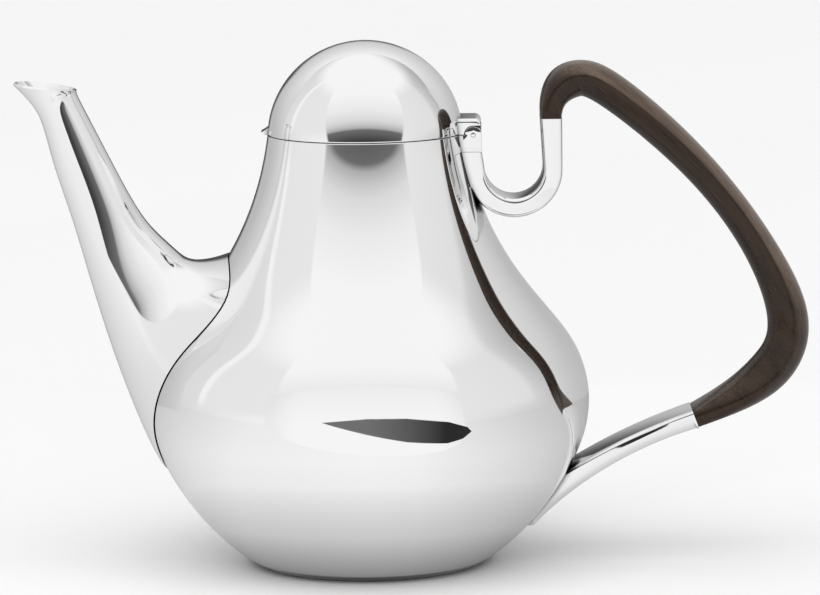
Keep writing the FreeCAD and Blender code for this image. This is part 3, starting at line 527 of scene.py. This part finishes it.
# Upper bracket: a U from below the hinge to the handle's upper joint
bend = (BEND_X, BEND_Z)
bend_outer = BEND_RADIUS + BEND_THICKNESS
tail = arc(bend, bend_outer, 180 + BEND_TAIL, 360)
upper_band = sawn("upper_band", [(BAND_ROOT, SOLDER_HEIGHT), (BAND_ROOT, tail[0][1])] + tail
                  + [(ARM_OUTER, UPPER_JOINT[1]), (ARM_OUTER - UPPER_THICKNESS, UPPER_JOINT[1])]
                  + arc(bend, BEND_RADIUS, 360, 180) + [(FACE_X, SOLDER_HEIGHT)], BAND_WIDTH)
soften_edges(upper_band, BAND_EDGE, BAND_SEGMENTS, lambda a, b: on_side(a, b)
             and max(a.x, b.x) > MOUTH_RADIUS
             and all(abs(a.z - end) + abs(b.z - end) > 2 * NEAR for end in (UPPER_JOINT[1], SOLDER_HEIGHT)))
combine(upper_band, copy_of(body_form), "DIFFERENCE")


# Lower bracket: a band that tapers down along the body's lower wall
def outside_at(height):
    """The body's radius at a height on its lower wall."""
    lower = [point for point in pear if point[1] < BELLY_HEIGHT]
    return float(numpy.interp(height, [point[1] for point in lower], [point[0] for point in lower]))


lean = math.radians(LOWER_LEAN)
over, rise = (LOWER_THICKNESS / 2 * part for part in (math.sin(lean), math.cos(lean)))
low_end = (LOWER_JOINT[0] + over, LOWER_JOINT[1] - rise)
top_end = (LOWER_JOINT[0] - over, LOWER_JOINT[1] + rise)
upper_root = (outside_at(TAIL_UPPER) - TAIL_ROOT, TAIL_UPPER)
tail_end = outside_at(TAIL_HEIGHT)
lower_band = sawn("lower_band", bulge(top_end, upper_root, UPPER_EDGE_CURVE, 1)
                  + [(tail_end - TAIL_ROOT, TAIL_HEIGHT)]
                  + bulge((tail_end + TAIL_THICKNESS, TAIL_HEIGHT), low_end, LOWER_EDGE_CURVE, -1),
                  BAND_WIDTH)
tail_middle = (TAIL_HEIGHT + TAIL_UPPER) / 2
band_slope = (LOWER_JOINT[1] - tail_middle) / (LOWER_JOINT[0] - tail_end)
for radius, side in ((BAND_EDGE, 1), (LOWER_SOFTNESS, -1)):
    soften_edges(lower_band, radius, BAND_SEGMENTS, lambda a, b: on_side(a, b)
                 and max(a.x, b.x) > tail_end + TAIL_SQUARE
                 and max(abs(a.x - LOWER_JOINT[0]), abs(b.x - LOWER_JOINT[0])) > over + NEAR
                 and side * ((a.z + b.z) / 2 - tail_middle
                             - band_slope * ((a.x + b.x) / 2 - tail_end)) > 0)
combine(lower_band, body_form, "DIFFERENCE")
bpy.data.objects.remove(lid_form)


# Carved grip
def grip_section(place, direction, thickness, carving):
    """Between the squared end, at carving 0, and the carved grip, at 1."""
    squared = 2 * BAND_EDGE
    end_flat = (BAND_WIDTH - squared) * (1 - carving) + GRIP_FLAT * carving
    side_flat = (thickness - squared) * (1 - carving) + GRIP_RIDGE * carving
    width = BAND_WIDTH * (1 - carving) + GRIP_WIDTH * carving
    return section(place, 90 - direction, thickness, width, end_flat, side_flat, RIDGE_OUTWARD * carving)


grip_sections = [grip_section(UPPER_JOINT, 90, UPPER_THICKNESS, 0)]
for joint, stations in ((UPPER_JOINT, GRIP_UPPER), (LOWER_JOINT, GRIP_LOWER)):
    for across, up, direction, thickness, carving in stations:
        grip_sections.append(grip_section((joint[0] + across, joint[1] + up), direction, thickness, carving))
grip_sections.append(grip_section(LOWER_JOINT, LOWER_LEAN - 180, LOWER_THICKNESS, 0))
grip = lofted("carved_grip", grip_sections, GRIP_RINGS, GRIP_AROUND, GRIP_EASING, False)
close_ends(grip)

for piece in (pot_wall, lid_shell, spout, finger_tip, hinge_leaf, cheeks, hinge_pin, upper_band,
              lower_band, grip):
    polish(piece)

# The grip's mesh keeps how far each place faces up and outward, for the painted light on the top of its wood
TOP_LIGHT_WAY = Vector((0.45, 0.0, 0.89))
TOP_LIGHT_ATTRIBUTE = "painted_top_light"
top_light_marks = grip.data.attributes.new(TOP_LIGHT_ATTRIBUTE, "FLOAT", "POINT")
for vertex, mark in zip(grip.data.vertices, top_light_marks.data):
    mark.value = vertex.normal.dot(TOP_LIGHT_WAY)


# Materials
def colour(text):
    """A linear colour from an sRGB hex value."""
    parts = [int(text[n:n + 2], 16) / 255 for n in (1, 3, 5)]
    return [part / 12.92 if part <= 0.04045 else ((part + 0.055) / 1.055) ** 2.4 for part in parts] + [1]


def add(tree, kind, inputs=(), **settings):
    """A node with its settings, and with each of its inputs set or linked."""
    node = tree.nodes.new(kind)
    for name, value in settings.items():
        setattr(node, name, value)
    for socket, value in dict(inputs).items():
        if isinstance(value, bpy.types.NodeSocket):
            tree.links.new(value, node.inputs[socket])
        else:
            node.inputs[socket].default_value = value
    return node


def new_material(name):
    """A material with an empty tree, and that tree."""
    material = bpy.data.materials.new(name)
    material.use_nodes = True
    material.node_tree.nodes.clear()
    return material, material.node_tree


def lay_stops(ramp, stops):
    """Lay a row of places and colours on a ramp."""
    marks = ramp.color_ramp.elements
    while len(marks) < len(stops):
        marks.new(0.5)
    for mark, (place, shade) in zip(marks, stops):
        mark.position = place
        mark.color = shade


def greys(levels):
    """The stops of grey levels at a row of values, between its first value and its last."""
    first, last = levels[0][0], levels[-1][0]
    return [((value - first) / (last - first), (level, level, level, 1)) for value, level in levels]


def per_mm(millimetres):
    """The scale of a pattern whose features are this far apart."""
    return 1 / (millimetres * MM)


# The values that a cloudy pattern mostly keeps to, and those of two patterns added
CLOUDY = {"From Min": 0.3, "From Max": 0.7}
TWICE_CLOUDY = {"From Min": 0.7, "From Max": 1.3}

# Sterling silver, raised by hammer and buffed to a mirror. The buffing leaves a faint cloudiness and
# hairlines, drawn a little coarser than real ones so that they show. Corners and hollows that nearby
# surfaces hide are painted darker grey: painted shade.
CLOUD_SIZE = 35.0
HAIRLINE_SIZE = 0.5
HAIRLINE_STRETCH = 0.06
HAIRLINE_DEPTH = 0.05
MIRROR_ROUGHNESS = {"To Min": 0.025, "To Max": 0.05}
CORNER_SHADE_REACH = 2.5
silver, tree = new_material("polished_sterling_silver")
on_silver = add(tree, "ShaderNodeTexCoord").outputs["Object"]
cloud = add(tree, "ShaderNodeTexNoise", {"Vector": on_silver, "Scale": per_mm(CLOUD_SIZE), "Detail": 3.0})
hairline_way = add(tree, "ShaderNodeMapping", {"Vector": on_silver, "Scale": (1.0, 1.0, HAIRLINE_STRETCH)})
hairline = add(tree, "ShaderNodeTexNoise", {"Vector": hairline_way.outputs[0],
                                            "Scale": per_mm(HAIRLINE_SIZE), "Detail": 2.0})
# Painted shade: the silver's colour goes from white to dark grey where nearby surfaces hide it
corner_shade = add(tree, "ShaderNodeAmbientOcclusion", {"Distance": CORNER_SHADE_REACH * MM}, samples=8)
silver_with_painted_shade = add(tree, "ShaderNodeValToRGB", {"Fac": corner_shade.outputs["AO"]})
lay_stops(silver_with_painted_shade, [(0.5, colour("#4c4c4c")), (0.9, colour("#f5f5f5"))])
gloss = add(tree, "ShaderNodeMapRange", {"Value": cloud.outputs["Fac"], **CLOUDY, **MIRROR_ROUGHNESS})
buffing = add(tree, "ShaderNodeBump", {"Height": hairline.outputs["Fac"], "Strength": 0.02,
                                       "Distance": HAIRLINE_DEPTH * MM})
metal = add(tree, "ShaderNodeBsdfPrincipled", {"Base Color": silver_with_painted_shade.outputs[0], "Metallic": 1.0,
                                               "Roughness": gloss.outputs[0], "Normal": buffing.outputs[0]})
add(tree, "ShaderNodeOutputMaterial", {"Surface": metal.outputs[0]})

# Oiled dark hardwood, carved along the grain. Fine pores and growth bands run along the grip's long arm,
# and handling has left a satin sheen. The upper, outer side is painted paler: painted light from above.
FIBRE_SIZE = 0.7
FIBRE_STRETCH = 0.045
GROWTH_SIZE = 6.0
GRAIN_LEAN = GRIP_UPPER[-1][2]
PORE_DEPTH = 0.1
SATIN_ROUGHNESS = {"To Min": 0.16, "To Max": 0.3}
TOP_LIGHT_RANGE = {"From Min": 0.15, "From Max": 0.9}
wood, tree = new_material("oiled_dark_hardwood")
on_wood = add(tree, "ShaderNodeTexCoord").outputs["Object"]
grain_way = add(tree, "ShaderNodeMapping", {"Vector": on_wood, "Rotation": (0, math.radians(GRAIN_LEAN), 0)})
fibre_way = add(tree, "ShaderNodeMapping", {"Vector": grain_way.outputs[0],
                                            "Scale": (FIBRE_STRETCH, 1.0, 1.0)})
fibre = add(tree, "ShaderNodeTexNoise", {"Vector": fibre_way.outputs[0], "Scale": per_mm(FIBRE_SIZE),
                                         "Detail": 4.0, "Roughness": 0.6})
growth = add(tree, "ShaderNodeTexNoise", {"Vector": fibre_way.outputs[0], "Scale": per_mm(GROWTH_SIZE),
                                          "Detail": 2.0, "Distortion": 0.4})
grain = add(tree, "ShaderNodeMath", {0: fibre.outputs["Fac"], 1: growth.outputs["Fac"]}, operation="ADD")
tone = add(tree, "ShaderNodeMapRange", {"Value": grain.outputs[0], **TWICE_CLOUDY})
stain = add(tree, "ShaderNodeValToRGB", {"Fac": tone.outputs[0]})
lay_stops(stain, [(0.0, colour("#120b08")), (1.0, colour("#36261d"))])
lit_stain = add(tree, "ShaderNodeValToRGB", {"Fac": tone.outputs[0]})
lay_stops(lit_stain, [(0.0, colour("#3d3028")), (1.0, colour("#6b5a4d"))])
# Painted light: faces turned up and outward get the paler wood colours, as if lit from above
top_facing = add(tree, "ShaderNodeAttribute", attribute_name=TOP_LIGHT_ATTRIBUTE)
top_light = add(tree, "ShaderNodeMapRange", {"Value": top_facing.outputs["Fac"], **TOP_LIGHT_RANGE},
           interpolation_type="SMOOTHSTEP")
stain_with_top_light = add(tree, "ShaderNodeMix", {0: top_light.outputs[0], 6: stain.outputs[0], 7: lit_stain.outputs[0]},
           data_type="RGBA")
satin = add(tree, "ShaderNodeMapRange", {"Value": fibre.outputs["Fac"], **CLOUDY, **SATIN_ROUGHNESS})
pores = add(tree, "ShaderNodeBump", {"Height": fibre.outputs["Fac"], "Strength": 0.15,
                                     "Distance": PORE_DEPTH * MM})
timber = add(tree, "ShaderNodeBsdfPrincipled", {"Base Color": stain_with_top_light.outputs[2], "Roughness": satin.outputs[0],
                                                "IOR": 1.5, "Specular Tint": colour("#e8dccf"),
                                                "Sheen Weight": 0.12, "Sheen Roughness": 0.35,
                                                "Sheen Tint": colour("#d8c4b0"),
                                                "Normal": pores.outputs[0]})
add(tree, "ShaderNodeOutputMaterial", {"Surface": timber.outputs[0]})

# Every piece rides on its body and stands for its solid
DRESSED = [
    (pot_wall, "pot", "body_shell", silver, "silver"),
    (spout, "pot", "spout_shell", silver, "silver"),
    (lid_shell, "lid", "lid_dome", silver, "silver"),
    (finger_tip, "lid", "lid_finger_tip", silver, "silver"),
    (hinge_leaf, "lid", "lid_hinge_leaf", silver, "silver"),
    (cheeks, "pot", "hinge_block", silver, "silver"),
    (hinge_pin, "pot", "hinge_pin", silver, "silver"),
    (upper_band, "pot", "upper_bracket", silver, "silver"),
    (lower_band, "pot", "lower_bracket", silver, "silver"),
    (grip, "pot", "wood_handle", wood, "wood"),
]
for piece, body, node, material, slot_name in DRESSED:
    piece.data.materials.clear()
    piece.data.materials.append(material)
    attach(piece, body)
    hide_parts(node)

# The pieces inside keep their solids, in silver
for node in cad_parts.values():
    for place in node.material_slots:
        place.material = silver

# Floor: a pale seamless sheet that keeps the pot's shadow
FLOOR_SIZE = 24000.0
bpy.ops.object.select_all(action="DESELECT")
bpy.ops.mesh.primitive_plane_add(size=FLOOR_SIZE * MM, location=(0, 0, 0))
floor = bpy.context.object
floor.name = "studio_floor"
paper, tree = new_material("pale_studio_paper")
sheet = add(tree, "ShaderNodeBsdfPrincipled", {"Base Color": colour("#f7f7f7"), "Roughness": 0.9})
add(tree, "ShaderNodeOutputMaterial", {"Surface": sheet.outputs[0]})
floor.data.materials.append(paper)


# Studio cards, a table top and a cloth round the pot, which only its polished faces show
def upright_card(name, points, forward):
    """A flat card with its outline in the XZ plane, moved along Y."""
    piece = outline_piece(name, points)
    bpy.ops.object.mode_set(mode="EDIT")
    bpy.ops.mesh.select_all(action="SELECT")
    bpy.ops.mesh.edge_face_add()
    bpy.ops.transform.translate(value=(0, forward * MM, 0))
    bpy.ops.object.mode_set(mode="OBJECT")
    return piece


def show_in_silver(piece, material, level):
    """Give a stage piece its grey level, which glows in polished faces and nowhere else."""
    glow = add(material.node_tree, "ShaderNodeEmission", {"Color": level.outputs[0]})
    add(material.node_tree, "ShaderNodeOutputMaterial", {"Surface": glow.outputs[0]})
    piece.data.materials.append(material)
    for kind in ("camera", "diffuse", "shadow", "transmission"):
        setattr(piece, f"visible_{kind}", False)


# A dark wedge in front of the belly, darker to the right
SHADE_FORWARD = -110.0
SHADE_OUTLINE = [(-32, 60.5), (-22, 56.6), (0, 48.6), (27, 39.3), (64, 30.5), (84, 32), (98, 40), (90, 48),
                 (64, 58), (27, 63.9), (0, 64.3), (-22, 61.8)]
SHADE_LEVEL = {"From Min": 0.0, "From Max": 60 * MM, "To Min": 0.17, "To Max": 0.025}
dark_card, tree = new_material("dark_studio_card")
on_shade = add(tree, "ShaderNodeSeparateXYZ", {0: add(tree, "ShaderNodeTexCoord").outputs["Object"]})
shade_level = add(tree, "ShaderNodeMapRange", {"Value": on_shade.outputs["X"], **SHADE_LEVEL})
show_in_silver(upright_card("shade_card", SHADE_OUTLINE, SHADE_FORWARD), dark_card, shade_level)

# A bright card behind the wedge, less bright towards its top and its sides
BRIGHT_FORWARD = SHADE_FORWARD - 1
BRIGHT_OUTLINE = [(-100, 58), (-94, 47), (-80, 40), (-50, 33), (-10, 27), (30, 22), (60, 20), (80, 23),
                  (90, 32), (92, 44), (86, 56), (86, 104), (-100, 104)]
BRIGHT_UPWARD = {"From Min": 60 * MM, "From Max": 110 * MM, "To Min": 1.0, "To Max": 0.915}
BRIGHT_ASIDE = {"From Min": 50 * MM, "From Max": 95 * MM, "To Min": 1.0, "To Max": 0.9}
pale_card, tree = new_material("pale_studio_card")
on_bright = add(tree, "ShaderNodeSeparateXYZ", {0: add(tree, "ShaderNodeTexCoord").outputs["Object"]})
from_middle = add(tree, "ShaderNodeMath", {0: on_bright.outputs["X"]}, operation="ABSOLUTE")
bright_up = add(tree, "ShaderNodeMapRange", {"Value": on_bright.outputs["Z"], **BRIGHT_UPWARD})
bright_rim = add(tree, "ShaderNodeMapRange", {"Value": from_middle.outputs[0], **BRIGHT_ASIDE},
                 interpolation_type="SMOOTHSTEP")
bright_level = add(tree, "ShaderNodeMath", {0: bright_up.outputs[0], 1: bright_rim.outputs[0]},
                   operation="MULTIPLY")
show_in_silver(upright_card("bright_card", BRIGHT_OUTLINE, BRIGHT_FORWARD), pale_card, bright_level)

# The grey table top, as the silver shows it: its levels outward from the pot's axis, painted shadow under
# the belly, and its levels by direction in degrees, from the front round both sides to the dark back
TABLE_LIFT = 0.2
# Painted shadow: the table is dark close to the foot, where the pot shades it, and pale further out
TABLE_SHADOW_OUTWARD = [(34, 0.12), (40, 0.28), (57, 0.62), (91, 0.94), (130, 0.98), (250, 0.96)]
TABLE_ROUND = [(-180, 0.38), (-155, 0.5), (-130, 0.68), (-90, 0.84), (-60, 0.95), (0, 1.0), (20, 0.98),
               (50, 0.86), (90, 0.70), (130, 0.56), (155, 0.44), (180, 0.38)]
FULL_TURN = {"From Min": -math.pi, "From Max": math.pi}
bpy.ops.mesh.primitive_plane_add(size=FLOOR_SIZE * MM, location=(0, 0, TABLE_LIFT * MM))
table = bpy.context.object
table.name = "grey_table"
table_top, tree = new_material("grey_table_top")
on_table = add(tree, "ShaderNodeTexCoord").outputs["Object"]
table_place = add(tree, "ShaderNodeSeparateXYZ", {0: on_table})
table_ahead = add(tree, "ShaderNodeMath", {0: table_place.outputs["Y"], 1: -1.0}, operation="MULTIPLY")
table_turn = add(tree, "ShaderNodeMath", {0: table_place.outputs["X"], 1: table_ahead.outputs[0]},
                 operation="ARCTAN2")
table_reach = add(tree, "ShaderNodeVectorMath", {0: on_table}, operation="LENGTH")
outward = add(tree, "ShaderNodeMapRange", {"Value": table_reach.outputs["Value"],
                                           "From Min": TABLE_SHADOW_OUTWARD[0][0] * MM,
                                           "From Max": TABLE_SHADOW_OUTWARD[-1][0] * MM})
painted_table_shadow = add(tree, "ShaderNodeValToRGB", {"Fac": outward.outputs[0]})
lay_stops(painted_table_shadow, greys(TABLE_SHADOW_OUTWARD))
turned = add(tree, "ShaderNodeMapRange", {"Value": table_turn.outputs[0], **FULL_TURN})
turned_level = add(tree, "ShaderNodeValToRGB", {"Fac": turned.outputs[0]})
lay_stops(turned_level, greys(TABLE_ROUND))
table_level = add(tree, "ShaderNodeMath", {0: painted_table_shadow.outputs[0], 1: turned_level.outputs[0]},
                  operation="MULTIPLY")
show_in_silver(table, table_top, table_level)

# The grey cloth behind the pot, dark in the middle and paler upwards
CLOTH_BEHIND = 350.0
CLOTH_OUTLINE = [(-900, 1), (900, 1), (900, 700), (-900, 700)]
CLOTH_MIDDLE = -60.0
CLOTH_DARK = 0.08
CLOTH_SIDE = 0.70
PALE_ASIDE = {"From Min": 70 * MM, "From Max": 150 * MM}
PALE_UPWARD = {"From Min": 200 * MM, "From Max": 300 * MM}
UPPER_LEVEL = {"From Min": 160 * MM, "From Max": 650 * MM, "To Min": 0.52, "To Max": 0.92}
FAR_ASIDE = {"From Min": 250 * MM, "From Max": 800 * MM}
cloth, tree = new_material("grey_studio_cloth")
on_cloth = add(tree, "ShaderNodeSeparateXYZ", {0: add(tree, "ShaderNodeTexCoord").outputs["Object"]})
from_dark = add(tree, "ShaderNodeMath", {0: on_cloth.outputs["X"], 1: CLOTH_MIDDLE * MM},
                operation="SUBTRACT")
aside = add(tree, "ShaderNodeMath", {0: from_dark.outputs[0]}, operation="ABSOLUTE")
pale_side = add(tree, "ShaderNodeMapRange", {"Value": aside.outputs[0], **PALE_ASIDE},
                interpolation_type="SMOOTHSTEP")
pale_top = add(tree, "ShaderNodeMapRange", {"Value": on_cloth.outputs["Z"], **PALE_UPWARD},
               interpolation_type="SMOOTHSTEP")
pale = add(tree, "ShaderNodeMath", {0: pale_side.outputs[0], 1: pale_top.outputs[0]}, operation="MAXIMUM")
upper = add(tree, "ShaderNodeMapRange", {"Value": on_cloth.outputs["Z"], **UPPER_LEVEL})
far_side = add(tree, "ShaderNodeMapRange", {"Value": aside.outputs[0], **FAR_ASIDE})
pale_level = add(tree, "ShaderNodeMix", {0: far_side.outputs[0], 2: upper.outputs[0], 3: CLOTH_SIDE})
cloth_level = add(tree, "ShaderNodeMapRange", {"Value": pale.outputs[0], "To Min": CLOTH_DARK,
                                               "To Max": pale_level.outputs[0]})
show_in_silver(upright_card("backdrop_cloth", CLOTH_OUTLINE, CLOTH_BEHIND), cloth, cloth_level)

# Overhead soft light, which lights the floor and the wood
LAMP_TILT = math.radians(20)
LAMP_SPREAD = math.radians(60)
LAMP_STRENGTH = 0.75
lamp = bpy.data.objects.new("overhead_softbox", bpy.data.lights.new("overhead_softbox", "SUN"))
bpy.context.collection.objects.link(lamp)
lamp.rotation_euler = (LAMP_TILT, 0, 0)
lamp.data.angle = LAMP_SPREAD
lamp.data.energy = LAMP_STRENGTH
lamp.visible_glossy = False

# Studio tent: pale panels to both sides, a gap between them that darkens towards the floor, a pale roof, a
# dark spot at the back and a grey one behind the handle. Angles are in degrees, round from the front and up.
PANELS_ROUND = [(-180, 0.5), (-160, 0.57), (-125, 0.75), (-101, 0.79), (-100, 0.96), (-96, 0.96), (-95, 0.85),
                (-40, 0.87), (40, 0.86), (95, 0.80), (100, 0.70), (140, 0.55), (165, 0.5), (180, 0.5)]
GAP_UPWARD = [(3, 0.05), (10, 0.12), (15, 0.16), (17.5, 0.46), (22, 0.63), (27, 0.76), (40, 0.90), (60, 0.99),
              (90, 1.0)]
GAP_BEND = 0.22
PANEL_SLANT = -0.3
PANEL_FADE = (42, 45)
FLOOR_FADE = (0, 10)
ROOF_FADE = (60, 44)
BACK_WAY = (0.0, 0.99, -0.14)
BACK_FADE = (6, 24)
BACK_LEVEL = 0.12
HANDLE_WAY = (0.58, 0.70, 0.42)
HANDLE_FADE = (12, 45)
HANDLE_LEVEL = 0.44
world = bpy.data.worlds.new("studio_tent")
bpy.context.scene.world = world
world.use_nodes = True
tree = world.node_tree
tree.nodes.clear()
seen = add(tree, "ShaderNodeTexCoord").outputs["Generated"]
tent_place = add(tree, "ShaderNodeSeparateXYZ", {0: seen})
tent_ahead = add(tree, "ShaderNodeMath", {0: tent_place.outputs["Y"], 1: -1.0}, operation="MULTIPLY")
round_front = add(tree, "ShaderNodeMath", {0: tent_place.outputs["X"], 1: tent_ahead.outputs[0]},
                  operation="ARCTAN2")
height = add(tree, "ShaderNodeMath", {0: tent_place.outputs["Z"]}, operation="ARCSINE")

# Levels of the panels and of the table's far edge by direction, and of the gap by height, bent at its sides
tent_turn = add(tree, "ShaderNodeMapRange", {"Value": round_front.outputs[0], **FULL_TURN})
panels = add(tree, "ShaderNodeValToRGB", {"Fac": tent_turn.outputs[0]})
lay_stops(panels, greys(PANELS_ROUND))
table_edge = add(tree, "ShaderNodeValToRGB", {"Fac": tent_turn.outputs[0]})
lay_stops(table_edge, greys(TABLE_ROUND))
squared = add(tree, "ShaderNodeMath", {0: round_front.outputs[0], 1: 2.0}, operation="POWER")
bent = add(tree, "ShaderNodeMath", {0: squared.outputs[0], 1: GAP_BEND, 2: height.outputs[0]},
           operation="MULTIPLY_ADD")
gap_height = add(tree, "ShaderNodeMapRange", {"Value": bent.outputs[0],
                                              "From Min": math.radians(GAP_UPWARD[0][0]),
                                              "From Max": math.radians(GAP_UPWARD[-1][0])})
gap = add(tree, "ShaderNodeValToRGB", {"Fac": gap_height.outputs[0]})
lay_stops(gap, greys(GAP_UPWARD))

# Angles from the slanting edges of the panels and from the two spots
to_side = add(tree, "ShaderNodeMath", {0: round_front.outputs[0]}, operation="ABSOLUTE")
slanted = add(tree, "ShaderNodeMath", {0: height.outputs[0], 1: PANEL_SLANT, 2: to_side.outputs[0]},
              operation="MULTIPLY_ADD")
from_spot = {}
for way in (BACK_WAY, HANDLE_WAY):
    towards = add(tree, "ShaderNodeVectorMath", {0: seen, 1: way}, operation="DOT_PRODUCT")
    from_spot[way] = add(tree, "ShaderNodeMath", {0: towards.outputs["Value"]}, operation="ARCCOSINE")

# Each layer in turn shows its own level on the near side of its fade
shown = panels.outputs[0]
for angle, (near, far), level in (
        (height, FLOOR_FADE, table_edge.outputs[0]),
        (slanted, PANEL_FADE, gap.outputs[0]),
        (height, ROOF_FADE, gap.outputs[0]),
        (from_spot[BACK_WAY], BACK_FADE, BACK_LEVEL),
        (from_spot[HANDLE_WAY], HANDLE_FADE, HANDLE_LEVEL)):
    fade = add(tree, "ShaderNodeMapRange", {"Value": angle.outputs[0], "From Min": math.radians(near),
                                            "From Max": math.radians(far)}, interpolation_type="SMOOTHSTEP")
    shown = add(tree, "ShaderNodeMix", {0: fade.outputs[0], 2: level, 3: shown}).outputs[0]
light = add(tree, "ShaderNodeBackground", {"Color": shown, "Strength": 1.0})
add(tree, "ShaderNodeOutputWorld", {"Surface": light.outputs[0]})

# Camera: in front of the pot and a little above it, looking slightly down
CAMERA_PLACE = (13.8, -1500.0, 303.7)
CAMERA_TILT = math.radians(8.25)
CAMERA_ROLL = math.radians(-0.71)
CAMERA_LENS = 205.2
CAMERA_SENSOR = 36.0
camera = bpy.data.objects.new("camera", bpy.data.cameras.new("camera"))
bpy.context.collection.objects.link(camera)
camera.data.sensor_width = CAMERA_SENSOR
camera.data.sensor_fit = "HORIZONTAL"
camera.data.lens = CAMERA_LENS
right = Vector((1, 0, 0))
up = Vector((0, math.sin(CAMERA_TILT), math.cos(CAMERA_TILT)))
rolled_right = right * math.cos(CAMERA_ROLL) + up * math.sin(CAMERA_ROLL)
rolled_up = up * math.cos(CAMERA_ROLL) - right * math.sin(CAMERA_ROLL)
turn = Matrix((rolled_right, rolled_up, rolled_right.cross(rolled_up))).transposed().to_4x4()
camera.matrix_world = Matrix.Translation(Vector(CAMERA_PLACE) * MM) @ turn
bpy.context.scene.camera = camera
bpy.context.scene.view_settings.view_transform = "Standard"
